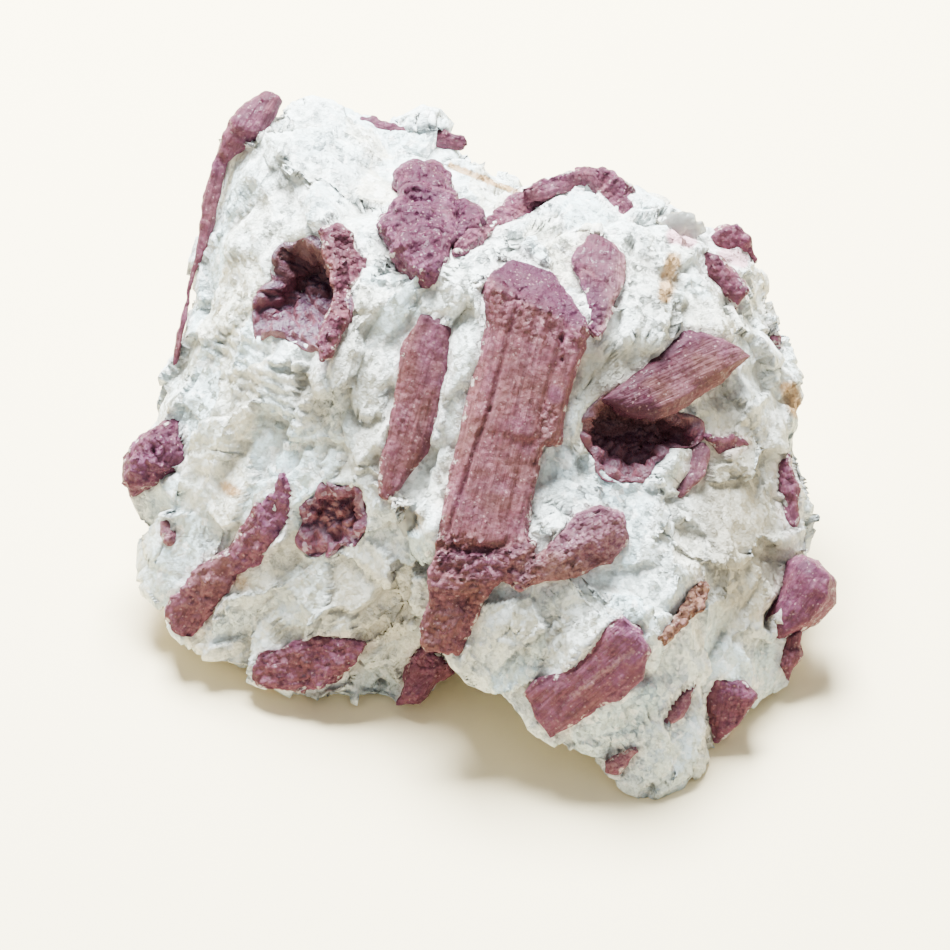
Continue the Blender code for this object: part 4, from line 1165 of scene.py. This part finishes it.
class StoneLook(bpy.types.PropertyGroup):
    """Sizes and colours of the feldspar."""

    cuts: bpy.props.IntProperty(name="Cuts", description="Parts that each side of a corner triangle has",
                                default=28, min=1)
    wave: length("Wave", "How far edges wander", 0.0005)
    chunk: length("Chunk", "Width of the larger blocks", 0.0056)
    chip: length("Chip", "Width of the smaller blocks", 0.0023)
    white: colour("White", "Snow-white feldspar", (0.80, 0.85, 0.84))
    # A tint of some cleaved grains, and painted cool light where the cool stains lie
    cool_tint_and_light: colour("Cool", "Bluish feldspar", (0.53, 0.69, 0.74))
    cream: colour("Cream", "Creamy feldspar", (0.78, 0.71, 0.56))
    glassy: colour("Glassy", "Grey glassy grains", (0.40, 0.44, 0.41))
    grain: colour("Grain", "Brightest grains", (0.95, 0.95, 0.92))
    # Partly a beige tint, partly painted shade and warm bounce light
    beige_tint_and_shade: colour("Beige", "Beige cleaved faces", (0.37, 0.335, 0.265))
    tan: colour("Tan", "Rusty stains", (0.42, 0.25, 0.12))
    rosy: colour("Rosy", "Pink smears", (0.55, 0.22, 0.28))
    # Painted shade: a darker colour laid in the crevices
    crevice_shade: colour("Crevice", "Dust in the crevices", (0.34, 0.31, 0.26))
    blush: colour("Blush", "Pink tinge beside the crystals", (0.70, 0.50, 0.50))


class CrystalLook(bpy.types.PropertyGroup):
    """Colours of the tourmaline, and how fine its surfaces are."""

    spacing: length("Spacing", "Distance between points of a crystal's surface", 0.00033)
    # Deep also gives painted shade in the gaps between sugary grains
    deep: colour("Deep", "Darkest streaks", (0.075, 0.022, 0.030))
    # Painted shade, laid on faces that look up
    shade: colour("Shade", "Glassy faces that look up", (0.034, 0.004, 0.016))
    pink: colour("Pink", "Fresh tourmaline", (0.188, 0.052, 0.072))
    brown: colour("Brown", "Browner clouds", (0.160, 0.074, 0.062))
    purple: colour("Purple", "Purple ends", (0.135, 0.042, 0.097))
    dust: colour("Dust", "Pale dust and feldspar specks", (0.50, 0.30, 0.30))
    rust: colour("Rust", "Ochre on the stained crystals", (0.17, 0.085, 0.042))
    skin: colour("Skin", "Feldspar that clings to a crystal's edges", (0.74, 0.66, 0.60))


class HollowLook(bpy.types.PropertyGroup):
    """Colours of the lined hollows."""

    spacing: length("Spacing", "Distance between points of a lining", 0.0003)
    dark: colour("Dark", "Deep in a hollow", (0.180, 0.062, 0.078))
    # Painted shade, laid on faces that look up and over a whole gloomy hollow
    shade: colour("Shade", "Glassy faces that look up", (0.045, 0.016, 0.042))
    purple: colour("Purple", "Purple crystals", (0.14, 0.025, 0.055))
    brown: colour("Brown", "Upper walls", (0.15, 0.066, 0.060))
    rose: colour("Rose", "Rims", (0.14, 0.040, 0.075))
    dust: colour("Dust", "Pale crystal tips", (0.48, 0.36, 0.46))


class StageLook(bpy.types.PropertyGroup):
    """The floor, the light and the camera."""

    floor: colour("Floor", "Colour of the floor", (0.87, 0.72, 0.46))
    lens: bpy.props.FloatProperty(name="Lens", description="Focal length in millimetres", default=400.0,
                                  min=1.0)
    sky: bpy.props.FloatProperty(name="Sky", description="Strength of the even light", default=0.75,
                                 min=0.0)
    power: bpy.props.FloatProperty(name="Lamp", description="Power of the large lamp", default=37.0,
                                   unit="POWER", min=0.0)


class SPECIMEN_OT_stone(bpy.types.Operator):
    """Makes the feldspar that holds the crystals"""

    bl_idname = "specimen.stone"
    bl_label = "Feldspar"

    def execute(self, context):
        look = context.scene.specimen_stone
        points, triangles, marks = stone_surface(look)
        piece("feldspar_chunk", points, triangles, feldspar(look), "matrix", marks)
        return {"FINISHED"}


class SPECIMEN_OT_crystals(bpy.types.Operator):
    """Makes the tourmaline crystals, one piece for each"""

    bl_idname = "specimen.crystals"
    bl_label = "Tourmaline"

    def execute(self, context):
        look = context.scene.specimen_crystals
        paints = {"tourmaline": tourmaline(look),
                  "stained_tourmaline": tourmaline(look, "stained_tourmaline", rust=1.3)}
        for name in CRYSTALS:
            slot = "stained_tourmaline" if name == "rusty_sliver" else "tourmaline"
            points, triangles, marks = crystal_surface(name, look)
            piece(f"{name}_surface", points, triangles, paints[slot], name, marks)
        return {"FINISHED"}


class SPECIMEN_OT_linings(bpy.types.Operator):
    """Makes the crusts of small dark crystals that line the hollows"""

    bl_idname = "specimen.linings"
    bl_label = "Hollow linings"

    def execute(self, context):
        look = context.scene.specimen_hollows
        paint = druse(look)
        for name, hollow in HOLLOWS.items():
            points, triangles, marks = hollow.lining(look.spacing / MM)
            piece(f"{name}_surface", points, triangles, paint, name, marks)
        return {"FINISHED"}


class SPECIMEN_OT_quartz(bpy.types.Operator):
    """Makes the two grains of grey quartz"""

    bl_idname = "specimen.quartz"
    bl_label = "Quartz"

    def execute(self, context):
        paint = quartz()
        for name in GRAINS:
            points, triangles, marks = crystal_surface(name, context.scene.specimen_crystals)
            piece(f"{name}_surface", points, triangles, paint, name, marks)
        return {"FINISHED"}


class SPECIMEN_OT_stage(bpy.types.Operator):
    """Sets out the floor, the light and the camera"""

    bl_idname = "specimen.stage"
    bl_label = "Stage"

    def execute(self, context):
        scene, look = context.scene, context.scene.specimen_stage

        def put(name, data, place=(0.0, 0.0, 0.0), turn=(0.0, 0.0, 0.0)):
            thing = bpy.data.objects.new(name, data)
            thing.location, thing.rotation_euler = place, turn
            scene.collection.objects.link(thing)
            return thing

        mesh = bpy.data.meshes.new("floor")
        corners = [(FLOOR_HALF * x, FLOOR_HALF * y, 0) for x, y in ((-1, -1), (1, -1), (1, 1), (-1, 1))]
        mesh.from_pydata(corners, [], [(0, 1, 2, 3)])
        mesh.materials.append(Paint("floor", Roughness=0.6).finish(Base_Color=look.floor))
        floor = put("floor", mesh)
        world = bpy.data.worlds.new("sky")
        world.use_nodes = True
        sky = world.node_tree.nodes["Background"].inputs
        sky["Color"].default_value = SKY_COLOR
        sky["Strength"].default_value = look.sky
        scene.world = world
        lamp = bpy.data.lights.new("lamp", "AREA")
        lamp.energy, lamp.size, lamp.color = look.power, LAMP_SIZE, LAMP_COLOR
        put("lamp", lamp, LAMP_PLACE, (-LAMP_PLACE).to_track_quat("-Z", "Y").to_euler())
        camera = bpy.data.cameras.new("camera")
        camera.lens, camera.clip_end = look.lens, FAR_CLIP
        distance = FRAME_WIDTH_MM * look.lens / camera.sensor_width
        eye = leaning(np.array(AIM_MM) + OUT * distance)
        scene.camera = put("camera", camera, eye, (np.pi / 2 - LEAN, 0.0, 0.0))
        return {"FINISHED"}


class SPECIMEN_PT_panel(bpy.types.Panel):
    """Lists what the specimen is made of"""

    bl_idname = "SPECIMEN_PT_panel"
    bl_label = "Tourmaline specimen"
    bl_space_type = "VIEW_3D"
    bl_region_type = "UI"
    bl_category = "Specimen"

    def draw(self, context):
        for operator in OPERATORS:
            self.layout.operator(operator.bl_idname)
        for slot, group in GROUPS.items():
            box = self.layout.box()
            for name in group.__annotations__:
                box.prop(getattr(context.scene, slot), name)


GROUPS = {
    "specimen_stone": StoneLook,
    "specimen_crystals": CrystalLook,
    "specimen_hollows": HollowLook,
    "specimen_stage": StageLook,
}
OPERATORS = (SPECIMEN_OT_stage, SPECIMEN_OT_crystals, SPECIMEN_OT_linings, SPECIMEN_OT_quartz,
             SPECIMEN_OT_stone)


def register():
    """Registers the settings, the operators and the panel."""
    for group in (*GROUPS.values(), *OPERATORS, SPECIMEN_PT_panel):
        bpy.utils.register_class(group)
    for slot, group in GROUPS.items():
        setattr(bpy.types.Scene, slot, bpy.props.PointerProperty(type=group))


def unregister():
    """Takes back what register() added."""
    for slot in GROUPS:
        delattr(bpy.types.Scene, slot)
    for group in reversed((*GROUPS.values(), *OPERATORS, SPECIMEN_PT_panel)):
        bpy.utils.unregister_class(group)


def main():
    """Makes every piece."""
    register()
    settle([lump for group in (*CRYSTALS.values(), *GRAINS.values()) for lump in group])
    for hollow in HOLLOWS.values():
        hollow.take_place()
    bpy.ops.specimen.stage()
    bpy.ops.specimen.crystals()
    bpy.ops.specimen.linings()
    bpy.ops.specimen.quartz()
    bpy.ops.specimen.stone()


if __name__ == "__main__":
    main()
